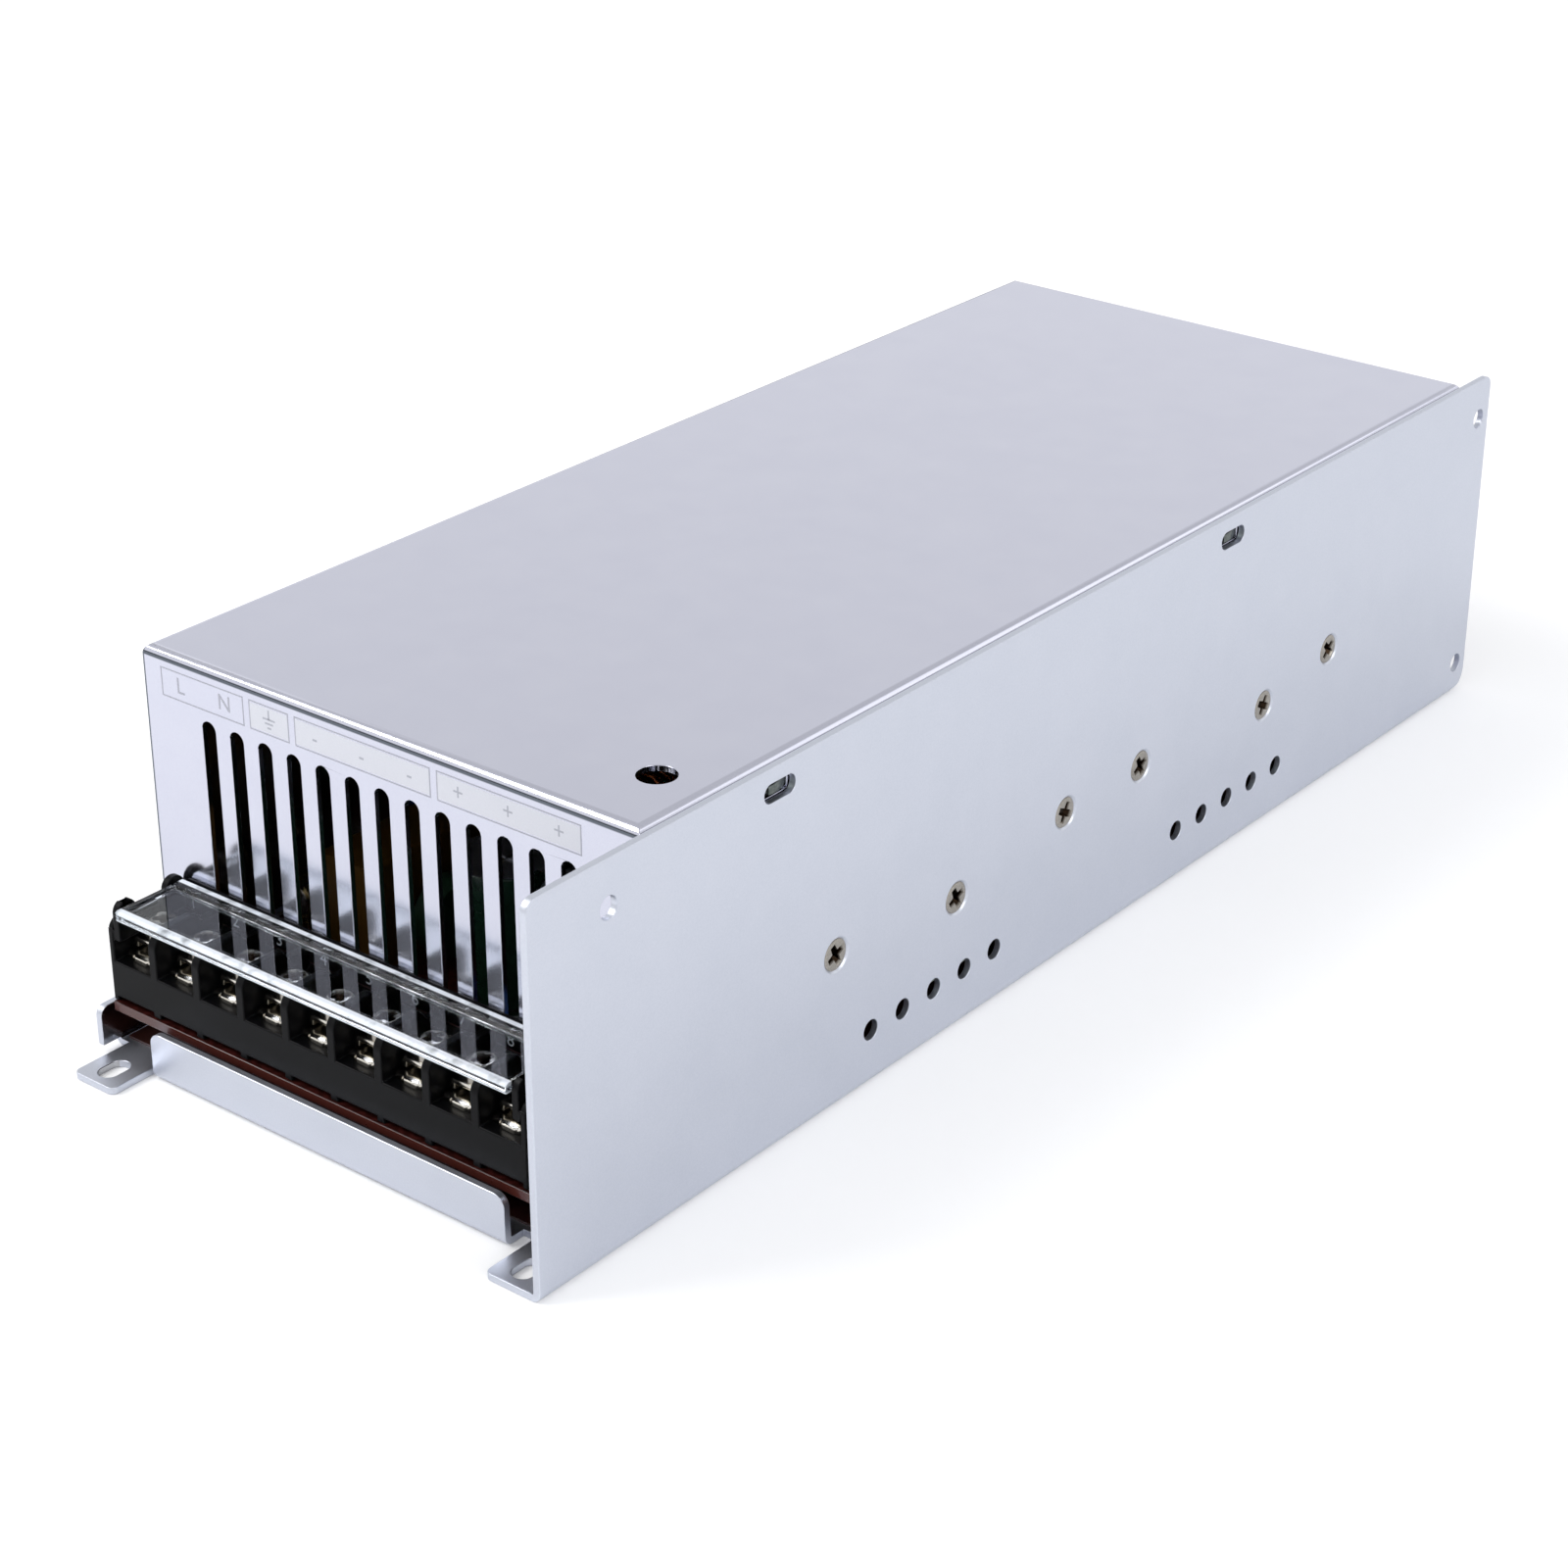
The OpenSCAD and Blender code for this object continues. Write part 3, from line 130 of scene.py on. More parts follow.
# what metal mirrors, by height: the dim edge of the room at the horizon, the white backdrop, a darker ceiling
overhead = add(tree, "ShaderNodeValToRGB", links={0: height.outputs["Z"]})
for at, value in ((0.09, 0.25), (0.14, 1.0), (0.6, 0.62)):
    stop = overhead.color_ramp.elements.new(at)
    stop.color = (value, value, value, 1)
overhead.color_ramp.elements.remove(overhead.color_ramp.elements[0])
overhead.color_ramp.elements.remove(overhead.color_ramp.elements[-1])
seen = add(tree, "ShaderNodeBackground", {"Color": linear("#FFFFFF"), "Strength": 1.0})
shown_gloss = add(tree, "ShaderNodeBackground", {"Color": linear("#FBFCFF")}, {"Strength": overhead.outputs[0]})
ambient = add(tree, "ShaderNodeBackground", {"Color": linear("#F8FAFF"), "Strength": 0.84})
unseen = add(tree, "ShaderNodeMixShader", links={0: mirrored, 1: ambient.outputs[0], 2: shown_gloss.outputs[0]})
whole = add(tree, "ShaderNodeMixShader", links={
    0: path.outputs["Is Camera Ray"], 1: unseen.outputs[0], 2: seen.outputs[0]})
add(tree, "ShaderNodeOutputWorld", links={"Surface": whole.outputs[0]})


def soft_lamp(name, where, aim, size, watts):
    """A square area lamp, turned to its aim."""
    data = bpy.data.lights.new(name, "AREA")
    data.shape = "SQUARE"
    data.size = size
    data.energy = watts
    lamp = new_object(name, data)
    lamp.location = where
    lamp.rotation_euler = (Vector(aim) - Vector(where)).to_track_quat("-Z", "Y").to_euler()


soft_lamp("key_lamp", (-0.55, -0.62, 0.85), (0, -0.03, 0.03), 0.5, 5)
soft_lamp("side_lamp", (1.15, -0.25, 0.8), (0.03, 0, 0.03), 0.8, 4)
soft_lamp("edge_lamp", (0.62, 0.98, 0.78), (0.03, 0, 0.03), 0.5, 0.45)

# Floor: matt white paint board. Seen directly it is lifted a little, so that it stays white around the shadow.
floor_paint = bpy.data.materials.new("matt white board")
floor_paint.use_nodes = True
tree = floor_paint.node_tree
floor_shader = tree.nodes["Principled BSDF"]
for name, value in (("Roughness", 0.9), ("Specular IOR Level", 0.1), ("Emission Color", linear("#FFFFFF"))):
    floor_shader.inputs[name].default_value = value
floor_seen = add(tree, "ShaderNodeLightPath").outputs["Is Camera Ray"]
floor_tone = add(tree, "ShaderNodeMix", {"data_type": "RGBA", 6: linear("#EEEEEE"), 7: linear("#FDFCFA")},
                 {0: floor_seen})
tree.links.new(floor_tone.outputs[2], floor_shader.inputs["Base Color"])
tree.links.new(math_of("MULTIPLY", floor_seen, 0.1), floor_shader.inputs["Emission Strength"])
FLOOR_SIDE = 6
SQUARE = ((-0.5, -0.5), (0.5, -0.5), (0.5, 0.5), (-0.5, 0.5))
floor_mesh = bpy.data.meshes.new("floor")
floor_mesh.from_pydata([(x * FLOOR_SIDE, y * FLOOR_SIDE, -0.05 * MM) for x, y in SQUARE], [], [(0, 1, 2, 3)])
floor_mesh.materials.append(floor_paint)
new_object("floor", floor_mesh)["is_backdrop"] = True

# ---------------------------------------------------------------- chassis
# One sheet of 1.2 mm aluminium, pierced and folded into the base, the tall side plate,
# the low left flange, both lips and the four slotted tabs. Its sheared edges are deburred.


def welded(mesh):
    """The mesh of a CAD node as a bmesh, with its corners merged."""
    bm = bmesh.new()
    bm.from_mesh(mesh)
    bmesh.ops.remove_doubles(bm, verts=bm.verts, dist=0.002 * MM)
    return bm


def merged(mesh):
    """The mesh of a CAD node as a bmesh, with its corners merged and its flat faces whole."""
    bm = welded(mesh)
    bmesh.ops.dissolve_limit(bm, angle_limit=math.radians(0.5), verts=bm.verts, edges=bm.edges)
    return bm


def shaped(bm, name, sharp=None):
    """A mesh from a bmesh, which is freed. With an angle, all is smooth but the edges that turn by more."""
    mesh = bpy.data.meshes.new(name)
    for face in bm.faces if sharp else ():
        face.smooth = True
    bm.to_mesh(mesh)
    bm.free()
    if sharp:
        mesh.set_sharp_from_angle(angle=math.radians(sharp))
    return mesh


def plain_mesh(piece):
    """The mesh that an object's modifiers make of it, without them. The object itself is removed."""
    bpy.context.view_layer.update()
    mesh = bpy.data.meshes.new_from_object(piece.evaluated_get(bpy.context.evaluated_depsgraph_get()))
    piece.modifiers.clear()
    bpy.data.objects.remove(piece)
    return mesh


def pierced(mesh, boxes):
    """The mesh with boxes cut out of it, each given by its middle and its size."""
    cutter = bmesh.new()
    for middle, size in boxes:
        bmesh.ops.create_cube(cutter, size=1, matrix=Matrix.Translation(middle) @ Matrix.Diagonal((*size, 1)))
    tool = new_object("cutter", shaped(cutter, "cutter"))
    blank = new_object("blank", mesh)
    cut = blank.modifiers.new("cut", "BOOLEAN")
    cut.operation = "DIFFERENCE"
    cut.solver = "EXACT"
    cut.object = tool
    result = plain_mesh(blank)
    bpy.data.objects.remove(tool)
    return result


def dress(piece, *materials):
    """Gives a piece its materials, in slot order, and leaves its faces' numbers as they are."""
    held = piece.data.materials
    for i, material in enumerate(materials):
        if i < len(held):
            held[i] = material
        else:
            held.append(material)
    return piece


def edged_copy(node, width, slot, *materials, body="case", segments=2, angle=35, cuts=()):
    """Stands a copy of a CAD node in its place, merged and dressed, its sharp edges broken by a round.

    The round's width is in millimetres, and the angle in degrees is the least that counts as sharp.
    """
    mesh = nodes[node].data.copy()
    mesh.name = node + "_edged"
    if "custom_normal" in mesh.attributes:
        mesh.attributes.remove(mesh.attributes["custom_normal"])
    bm = merged(mesh)
    if cuts:
        bm.to_mesh(mesh)
        bm.free()
        bm = merged(pierced(mesh, cuts))
    for face in bm.faces:
        face.smooth = True
    # an edge much shorter than its round would fold over itself, so it stays sharp
    shortest = 0.85 * width * MM
    rounded = bm.edges.layers.float.new("bevel_weight_edge")
    for edge in bm.edges:
        turns = len(edge.link_faces) == 2 and edge.calc_face_angle() > math.radians(angle)
        edge[rounded] = float(turns and edge.calc_length() > shortest)
    bm.to_mesh(mesh)
    bm.free()
    mesh.set_sharp_from_angle(angle=math.radians(angle))
    piece = new_object(node + "_edged", mesh, body)
    bevel = piece.modifiers.new("broken edges", "BEVEL")
    bevel.width = width * MM
    bevel.segments = segments
    bevel.limit_method = "WEIGHT"
    bevel.use_clamp_overlap = False
    bevel.harden_normals = True
    weighted = piece.modifiers.new("flat faces", "WEIGHTED_NORMAL")
    weighted.keep_sharp = True
    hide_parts(node)
    return dress(piece, *materials)


def box_of(node):
    """The lowest and the highest corner of a CAD node."""
    return [Vector(corner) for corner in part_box(node)]


def ranged(value, low, high, to_low=0.0, to_high=1.0):
    """A value carried from one range to another, and held within it."""
    return add(value.id_data, "ShaderNodeMapRange", {
        "From Min": low, "From Max": high, "To Min": to_low, "To Max": to_high}, {"Value": value}).outputs[0]


def finish(name, dark, light, grain, roughness, relief, metallic=0.0, stretch=(1, 1, 1), cells=False, **sockets):
    """A real surface in short: two tones mixed by a grain, a roughness that follows it, and its relief.

    The grain's size and the relief's depth are in millimetres. The stretch draws the grain out along an axis,
    and cells makes it granular. Further sockets are set on the shader as they are named.
    """
    material = bpy.data.materials.new(name)
    material.use_nodes = True
    tree = material.node_tree
    shader = tree.nodes["Principled BSDF"]
    shader.inputs["Metallic"].default_value = metallic
    for key, value in sockets.items():
        shader.inputs[key.replace("_", " ")].default_value = value
    place = add(tree, "ShaderNodeTexCoord")
    laid = add(tree, "ShaderNodeMapping", {"Scale": [1 / s for s in stretch]}, {"Vector": place.outputs["Object"]})
    if cells:
        fine = add(tree, "ShaderNodeTexVoronoi", {"Scale": 1 / (grain * MM)}, {"Vector": laid.outputs[0]})
    else:
        fine = add(tree, "ShaderNodeTexNoise", {"Scale": 1 / (grain * MM), "Detail": 3.0, "Roughness": 0.6},
                   {"Vector": laid.outputs[0]})
    broad = add(tree, "ShaderNodeTexNoise", {"Scale": 1 / (30 * grain * MM), "Detail": 2.0},
                {"Vector": laid.outputs[0]})
    both = add(tree, "ShaderNodeMath", {"operation": "MULTIPLY_ADD", 1: 0.5},
               {0: broad.outputs[0], 2: fine.outputs[0]}).outputs[0]
    shade = add(tree, "ShaderNodeMix", {"data_type": "RGBA", 6: linear(dark), 7: linear(light)},
                {0: ranged(both, 0.45, 1.05)})
    tree.links.new(shade.outputs[2], shader.inputs["Base Color"])
    gloss = ranged(both, 0.4, 1.1, max(0.02, roughness * 0.85), min(1, roughness * 1.15))
    tree.links.new(gloss, shader.inputs["Roughness"])
    bump = add(tree, "ShaderNodeBump", {"Strength": 0.5, "Distance": relief * MM}, {"Height": fine.outputs[0]})
    tree.links.new(bump.outputs[0], shader.inputs["Normal"])
    return material


def paint(piece, choose):
    """Gives each face one of its piece's materials, chosen from its middle and its normal."""
    for face in piece.data.polygons:
        face.material_index = choose(face.center, face.normal)


# Rolled aluminium with a clear etched finish: a pale blue-grey satin with a fine even sparkle.
chassis_sheet = finish("rolled aluminium, clear etched", "#D8DCE6", "#E1E4ED", 0.3, 0.4, 0.002, 1.0)
# Inside the side walls the sheet is given a smoother finish that mirrors the dark interior, and a darker, greyer
# colour as painted shade.
chassis_inner_shaded = finish("rolled aluminium, inner faces with painted shade", "#B9BABD", "#C6C6C9", 0.3, 0.16, 0.0015, 1.0)
# the inward faces of the side walls take the second material, darkened as painted shade
paint(edged_copy("chassis", 0.14, "chassis_sheet", chassis_sheet, chassis_inner_shaded),
      lambda at, normal: 1 if abs(at.x) > 40 * MM and normal.x * at.x < -0.7 * abs(at.x) else 0)

# ---------------------------------------------------------------- cover
# A 1 mm sheet folded over the case, with slots in its front wall and a punched finger guard behind.

# The same alloy from another coil, left brighter: it mirrors the surround softly.
cover_sheet = finish("rolled aluminium, satin", "#D9DAE8", "#E1E2EE", 0.25, 0.14, 0.0012, 1.0)


def toned(material, mask, colour, **settings):
    """Lays a colour over a material's own, where a mask is 1."""
    base = material.node_tree.nodes["Principled BSDF"].inputs["Base Color"]
    mix = add(material.node_tree, "ShaderNodeMix", {"data_type": "RGBA", 7: linear(colour), **settings},
              {0: mask, 6: base.links[0].from_socket})
    material.node_tree.links.new(mix.outputs[2], base)


def axes_of(material):
    """The object coordinates in a material, as sockets X, Y and Z."""
    place = add(material.node_tree, "ShaderNodeTexCoord")
    return add(material.node_tree, "ShaderNodeSeparateXYZ", links={0: place.outputs["Object"]}).outputs


# A thin dark line is painted into the sheet's colour under the front bend and down the corner beside the seam: a
# painted reflection of dark surroundings in the fold.
cover_low, cover_high = box_of("cover")
BEND_FOOT = cover_high.z - 1.6 * MM
DARK_LINE_W = 0.6 * MM
SOFT = 0.1 * MM
axes = axes_of(cover_sheet)
under_bend = math_of("MULTIPLY", ranged(axes["Z"], BEND_FOOT - SOFT, BEND_FOOT + SOFT),
                     ranged(axes["Z"], BEND_FOOT + DARK_LINE_W + SOFT, BEND_FOOT + DARK_LINE_W - SOFT))
down_corner = ranged(axes["X"], cover_low.x + 5 * SOFT, cover_low.x + 3 * SOFT)
on_front = ranged(axes["Y"], cover_low.y + 3 * SOFT, cover_low.y + 2 * SOFT)
# the painted dark line, toned into the cover's colour
toned(cover_sheet, math_of("MULTIPLY", math_of("MAXIMUM", under_bend, down_corner), on_front), "#686E76")

# Behind each slot of the side plate the cover's flange is lanced, and the tongue is pressed out into the slot.
HOOK_Y = (-77.4 * MM, 41.9 * MM)
HOOK_Z = 58.5 * MM
FLANGE_X = 48.65 * MM
LANCED = Vector((3.0, 6.2, 2.6)) * MM
TONGUE_H = 1.7 * MM
# the tongues are painted dark, as painted shade down in the slots
shaded_tongue_finish = finish("lanced aluminium, painted shade", "#4E5451", "#7C827E", 0.6, 0.22, 0.01, 1.0)
lanced = [((FLANGE_X, y, HOOK_Z), LANCED) for y in HOOK_Y]
edged_copy("cover", 0.12, "cover_sheet", cover_sheet, cuts=lanced)


def skinned(bm, near, far):
    """Faces between two closed rows of corners."""
    for k in range(len(near)):
        m = (k + 1) % len(near)
        bm.faces.new((near[k], near[m], far[m], far[k]))


hooks = bmesh.new()
for y in HOOK_Y:
    # the tongue grows from the lanced edge at the rear, and swells out towards the front
    rows = []
    for k in range(7):
        t = k / 6
        out = FLANGE_X - 0.25 * MM + 0.8 * MM * math.sin(t * math.pi * 0.62)
        along = y + LANCED.y / 2 + 0.3 * MM - t * (LANCED.y - 1.2 * MM)
        half_z = TONGUE_H / 2 * (1 - 0.25 * t * t)
        rows.append([hooks.verts.new((x, along, HOOK_Z + s * half_z)) for x, s in
                     ((out, -1), (out + 0.06 * MM, 0), (out, 1), (out - 0.8 * MM, 1), (out - 0.8 * MM, -1))])
    for near, far in zip(rows, rows[1:]):
        skinned(hooks, near, far)
    hooks.faces.new(rows[0])
    hooks.faces.new(reversed(rows[-1]))
bmesh.ops.recalc_face_normals(hooks, faces=hooks.faces)


def extra(name, mesh, slot, *materials):
    """A piece that the CAD doesn't hold, on the case."""
    dress(new_object(name, mesh, "case"), *materials)


extra("cover_hooks", shaped(hooks, "cover_hooks", 40), "cover_sheet", shaded_tongue_finish)

# The screen-printed legend above the slots: plain fields with dividers, and the marks of the terminals below them.
# The ink is a thin satin grey, and lies on the wall's face.
LEGEND_LOW = 55.6 * MM
LEGEND_HIGH = 60.4 * MM
LEGEND_LEFT = -42 * MM
LEGEND_PITCH = 9.5 * MM
INK_LIFT = 0.015 * MM
legend_ink = finish("screen-printed grey ink", "#A9AAB4", "#B6B7C0", 0.3, 0.45, 0.002)
legend_tint = finish("screen-printed pale ink", "#D6D7DE", "#DDDEE4", 0.3, 0.45, 0.002)


def text_mesh(text, size, extrude=0.0):
    """The mesh of a short text, centred, in its own XY plane."""
    curve = bpy.data.curves.new("text " + text, "FONT")
    curve.body = text
    curve.size = size
    curve.extrude = extrude
    curve.align_x = "CENTER"
    curve.align_y = "CENTER"
    curve.resolution_u = 3
    mesh = plain_mesh(new_object("text " + text, curve))
    bpy.data.curves.remove(curve)
    return mesh


def joined(name, parts):
    """One mesh from several, each with its place and its material's number."""
    bm = bmesh.new()
    for mesh, place, number in parts:
        mesh.transform(place)
        for face in mesh.polygons:
            face.material_index = number
        bm.from_mesh(mesh)
    return shaped(bm, name)


def plate_mesh(width, height, border=0.0):
    """A flat field in the XY plane, or only its outline where a border is given."""
    bm = bmesh.new()
    outer = [bm.verts.new((x * width, y * height, 0)) for x, y in SQUARE]
    if border:
        inner = [bm.verts.new((x * (width - 2 * border), y * (height - 2 * border), 0)) for x, y in SQUARE]
        skinned(bm, outer, inner)
    else:
        bm.faces.new(outer)
    return shaped(bm, "field")


def front_at(x, y, z):
    """A place for what lies in the XY plane, turned to face the front."""
    return Matrix.Translation((x, y, z)) @ Matrix.Rotation(math.pi / 2, 4, "X")


legend = []
legend_y = cover_low.y - INK_LIFT
legend_z = (LEGEND_LOW + LEGEND_HIGH) / 2
legend_h = LEGEND_HIGH - LEGEND_LOW
for first, count, marks in ((0, 2, "LN"), (2, 1, ""), (3, 3, "---"), (6, 3, "+++")):
    x = LEGEND_LEFT + (first + (count - 1) / 2) * LEGEND_PITCH
    outline = plate_mesh(count * LEGEND_PITCH - 1.2 * MM, legend_h, 0.22 * MM)
    legend.append((outline, front_at(x, legend_y, legend_z), 0))
    if first > 1:
        field = plate_mesh(count * LEGEND_PITCH - 1.6 * MM, legend_h - 0.8 * MM)
        legend.append((field, front_at(x, legend_y + 0.5 * INK_LIFT, legend_z), 1))
    for i, mark in enumerate(marks):
        at = LEGEND_LEFT + (first + i) * LEGEND_PITCH
        legend.append((text_mesh(mark, 3.7 * MM), front_at(at, legend_y, legend_z), 0))
# the earth mark: a stem over three shortening bars
earth_x = LEGEND_LEFT + 2 * LEGEND_PITCH
for width, height, up in ((0.3, 1.5, 0.95), (2.6, 0.3, 0.2), (1.7, 0.3, -0.5), (0.8, 0.3, -1.2)):
    legend.append((plate_mesh(width * MM, height * MM), front_at(earth_x, legend_y, legend_z + up * MM), 0))
extra("front_legend", joined("front_legend", legend), "cover_sheet", legend_ink, legend_tint)

# ---------------------------------------------------------------- screws
# Nickel-plated machine screws with pressed cross recesses: countersunk ones through the side plate,
# and pan heads in the cover, the board and the fan. Each sits at its own turn, as a driver left it.

# Bright nickel over steel: warm, sharp mirror with faint turning rings and a few rubbed specks.
nickel_plate = finish("nickel-plated steel, cold headed", "#918C84", "#BDB7AE", 0.25, 0.2, 0.004, 1.0)
# down in the cross recess the plating is toned dark brown: painted shade, with a little oily grime
recess = add(nickel_plate.node_tree, "ShaderNodeAttribute", {"attribute_name": "recess"})
toned(nickel_plate, ranged(recess.outputs["Fac"], 0, 0.35), "#2E231A")
# Blackened steel of the fan's self-tapping screws: a dark oily satin.
black_oxide = finish("black-oxide steel, cold headed", "#1E1F22", "#3A3B3F", 0.25, 0.32, 0.004, 0.9)


def ring_of(sides, radius, x=0.0, y=0.0):
    """The corners of a round outline, as pairs of X and Y."""
    turns = [2 * math.pi * k / sides for k in range(sides)]
    return [(x + radius * math.cos(a), y + radius * math.sin(a)) for a in turns]


def screw_mesh(name, thread, length, head, height, countersunk):
    """A screw along -Z with its head's seat at 0: the head, the cross recess and a rolled thread.

    The attribute "recess" rises from 0 at the recess's mouth to 1 at its bottom.
    """
    if countersunk:
        profile = [(0.72 * head, 0), (0.84 * head, -0.02 * MM), (0.91 * head, -0.1 * MM),
                   (0.93 * head, -0.24 * MM), (thread, -height)]
    else:
        profile = [(0.62 * head, height), (0.72 * head, 0.97 * height), (0.86 * head, 0.84 * height),
                   (0.96 * head, 0.6 * height), (head, 0.34 * height), (head, 0.0), (thread, 0.0)]
    pitch = 0.5 * MM
    start = -height if countersunk else 0.0
    z = start - 0.25 * MM
    while z > -length + pitch:
        profile += [(d * thread, z - down * MM) for d, down in ((0.86, 0), (0.86, 0.1), (1, 0.22), (1, 0.3))]
        z -= pitch
    profile += [(thread * 0.82, -length + 0.15 * MM), (thread * 0.6, -length)]
    bm = bmesh.new()
    deep = bm.verts.layers.float.new("recess")
    rings = [[bm.verts.new((x, y, z)) for x, y in ring_of(32, d / 2)] for d, z in profile]
    for upper, lower in zip(rings, rings[1:]):
        skinned(bm, lower, upper)
    bm.faces.new(reversed(rings[-1]))
    # the cross: 12 corners at its mouth, and a smaller cross at its bottom
    top = profile[0][1]
    reach = 0.46 * profile[0][0]
    wing = 0.19 * head
    arm = [Vector(p) for p in ((reach, -wing / 2), (reach, wing / 2), (wing * 0.62, wing * 0.62))]
    cross = [Matrix.Rotation(q * math.pi / 2, 2) @ p for q in range(4) for p in arm]
    mouth = [bm.verts.new((p.x, p.y, top)) for p in cross]
    floor = [bm.verts.new((p.x * 0.45, p.y * 0.45, top - 0.72 * height)) for p in cross]
    skinned(bm, mouth, floor)
    bm.faces.new(reversed(floor))
    edges = [bm.edges.get(pair) for row in (rings[0], mouth) for pair in zip(row, row[1:] + row[:1])]
    bmesh.ops.triangle_fill(bm, use_beauty=True, use_dissolve=False, edges=edges)
    bmesh.ops.recalc_face_normals(bm, faces=bm.faces)
    for vert in floor:
        vert[deep] = 1.0
    return shaped(bm, name, 28)


def tree_with(name, inputs):
    """A geometry node tree with named inputs, each with its kind, and the sockets that hand them in."""
    tree = bpy.data.node_groups.new(name, "GeometryNodeTree")
    for label, kind in inputs.items():
        tree.interface.new_socket(label, in_out="INPUT", socket_type="NodeSocket" + kind)
    tree.interface.new_socket("Finish", in_out="INPUT", socket_type="NodeSocketMaterial")
    tree.interface.new_socket("Result", in_out="OUTPUT", socket_type="NodeSocketGeometry")
    return tree, add(tree, "NodeGroupInput").outputs


def ended(tree, given, last):
    """Ends a tree: what its last node makes becomes real, takes its material and goes out."""
    real = add(tree, "GeometryNodeRealizeInstances", links={"Geometry": last.outputs[0]})
    coated = add(tree, "GeometryNodeSetMaterial", links={"Geometry": real.outputs[0], "Material": given["Finish"]})
    add(tree, "NodeGroupOutput", links={"Result": coated.outputs[0]})
    return tree


def placing_tree():
    """Geometry nodes that stand a copy of a part at every point, along a direction, each at its own turn."""
    tree, given = tree_with("place parts", {"Places": "Geometry", "Part": "Object", "Direction": "Vector",
                            "Turn": "Float", "Spread": "Float", "Seed": "Int"})
    part = add(tree, "GeometryNodeObjectInfo", links={"Object": given["Part"]})
    points = add(tree, "GeometryNodeMeshToPoints", links={"Mesh": given["Places"]})
    along = add(tree, "FunctionNodeAlignRotationToVector", {"axis": "Z"}, {"Vector": given["Direction"]})
    stood = add(tree, "GeometryNodeInstanceOnPoints", links={
        "Points": points.outputs[0], "Instance": part.outputs["Geometry"], "Rotation": along.outputs[0]})
    least, most = (math_of(kind, given["Turn"], given["Spread"]) for kind in ("SUBTRACT", "ADD"))
    chance = add(tree, "FunctionNodeRandomValue", {"data_type": "FLOAT"}, {2: least, 3: most, "Seed": given["Seed"]})
    spin = add(tree, "ShaderNodeCombineXYZ", links={2: chance.outputs[1]})
    return ended(tree, given, add(tree, "GeometryNodeRotateInstances", {"Local Space": True},
                                  {"Instances": stood.outputs[0], "Rotation": spin.outputs[0]}))


place_parts = placing_tree()


def grown(name, tree, start, values, node):
    """Runs a node tree on a starting mesh with its inputs set by name. The plain result stands for a CAD node."""
    carrier = new_object(name + "_start", start)
    modifier = carrier.modifiers.new("nodes", "NODES")
    modifier.node_group = tree
    for socket in tree.interface.items_tree:
        if socket.in_out == "INPUT" and socket.name in values:
            modifier[socket.identifier] = values[socket.name]
    mesh = plain_mesh(carrier)
    mesh.name = name
    piece = new_object(name, mesh, "case")
    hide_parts(node)


def at_points(name, part, places, direction, material, turn, spread, seed, node):
    """Copies of a part's mesh at places, along a direction, standing for a node."""
    points = bpy.data.meshes.new(name + "_places")
    points.from_pydata([tuple(p) for p in places], [], [])
    holder = new_object(name + "_part", part)
    grown(name, place_parts, points, {"Part": holder, "Direction": direction, "Turn": turn, "Spread": spread,
                                      "Seed": seed, "Finish": material}, node)
    bpy.data.objects.remove(holder)


def solid_centres(node):
    """The middle of each loose solid of a node, and its lowest and highest corners."""
    bm = welded(nodes[node].data)
    left = set(bm.verts)
    found = []
    while left:
        solid = [left.pop()]
        for vert in solid:
            near = {other for edge in vert.link_edges for other in edge.verts} & left
            left -= near
            solid += near
        low = Vector(min(v.co[i] for v in solid) for i in range(3))
        high = Vector(max(v.co[i] for v in solid) for i in range(3))
        found.append(((low + high) / 2, low, high))
    bm.free()
    return sorted(found, key=lambda item: tuple(item[0]))


SCREW_D = 3 * MM
HEAD_SUNK = 0.1 * MM
side_at = solid_centres("side_screws")
long_reach = max(high.x - low.x for _, low, high in side_at)
for name, is_long in (("side_screws_long", True), ("side_screws_short", False)):
    chosen = [s for s in side_at if (s[2].x - s[1].x > long_reach - MM) == is_long]
    reach, width, _ = chosen[0][2] - chosen[0][1]
    mesh = screw_mesh(name, SCREW_D, reach - HEAD_SUNK, width, (width - SCREW_D) / 2, True)
    at_points(name, mesh, [(h.x - HEAD_SUNK, m.y, m.z) for m, _, h in chosen], (1, 0, 0), nickel_plate,
              0.4, 0.7, 5, "side_screws")

# pan heads: the axis and the side of it that they face, and the thread, the length and the head's height in mm
for node, axis, facing, thread, length, head_h, material, slot in (
        ("cover_screws", 0, -1, 3, 4, 1.8, nickel_plate, "screw_nickel"),
        ("board_screws", 2, 1, 3, 4, 1.8, nickel_plate, "screw_nickel"),
        ("fan_screws", 1, 1, 4, 9, 2.4, black_oxide, "screw_black")):
    solids = solid_centres(node)
    head = (solids[0][2] - solids[0][1])[2 if axis == 1 else 1]
    seats = [middle.copy() for middle, _, _ in solids]
    for seat, (_, low, high) in zip(seats, solids):
        seat[axis] = (high if facing > 0 else low)[axis] - facing * head_h * MM
    direction = [facing if i == axis else 0 for i in range(3)]
    mesh = screw_mesh(node + "_part", thread * MM, length * MM, head, head_h * MM, False)
    at_points(node + "_driven", mesh, seats, direction, material, 0.3, 0.8, 9, node)

# ---------------------------------------------------------------- insulating film and board
# A sheet of vulcanised fibre lies on the base, and the laminate stands over it on hexagonal brass posts.

# Vulcanised fibre: a dark red-brown pressed sheet, waxy and faintly mottled.
edged_copy("insulating_film", 0.03, "film_mylar",
           finish("vulcanised fibre, red-brown", "#2E1512", "#41201A", 2.0, 0.34, 0.01), segments=1)

# Turned brass, bright and a little streaked along the bar.
brass = finish("turned brass", "#A98D4A", "#D6BC7A", 0.3, 0.25, 0.006, 1.0, (1, 1, 8))
edged_copy("board_standoffs", 0.12, "post_brass", brass)


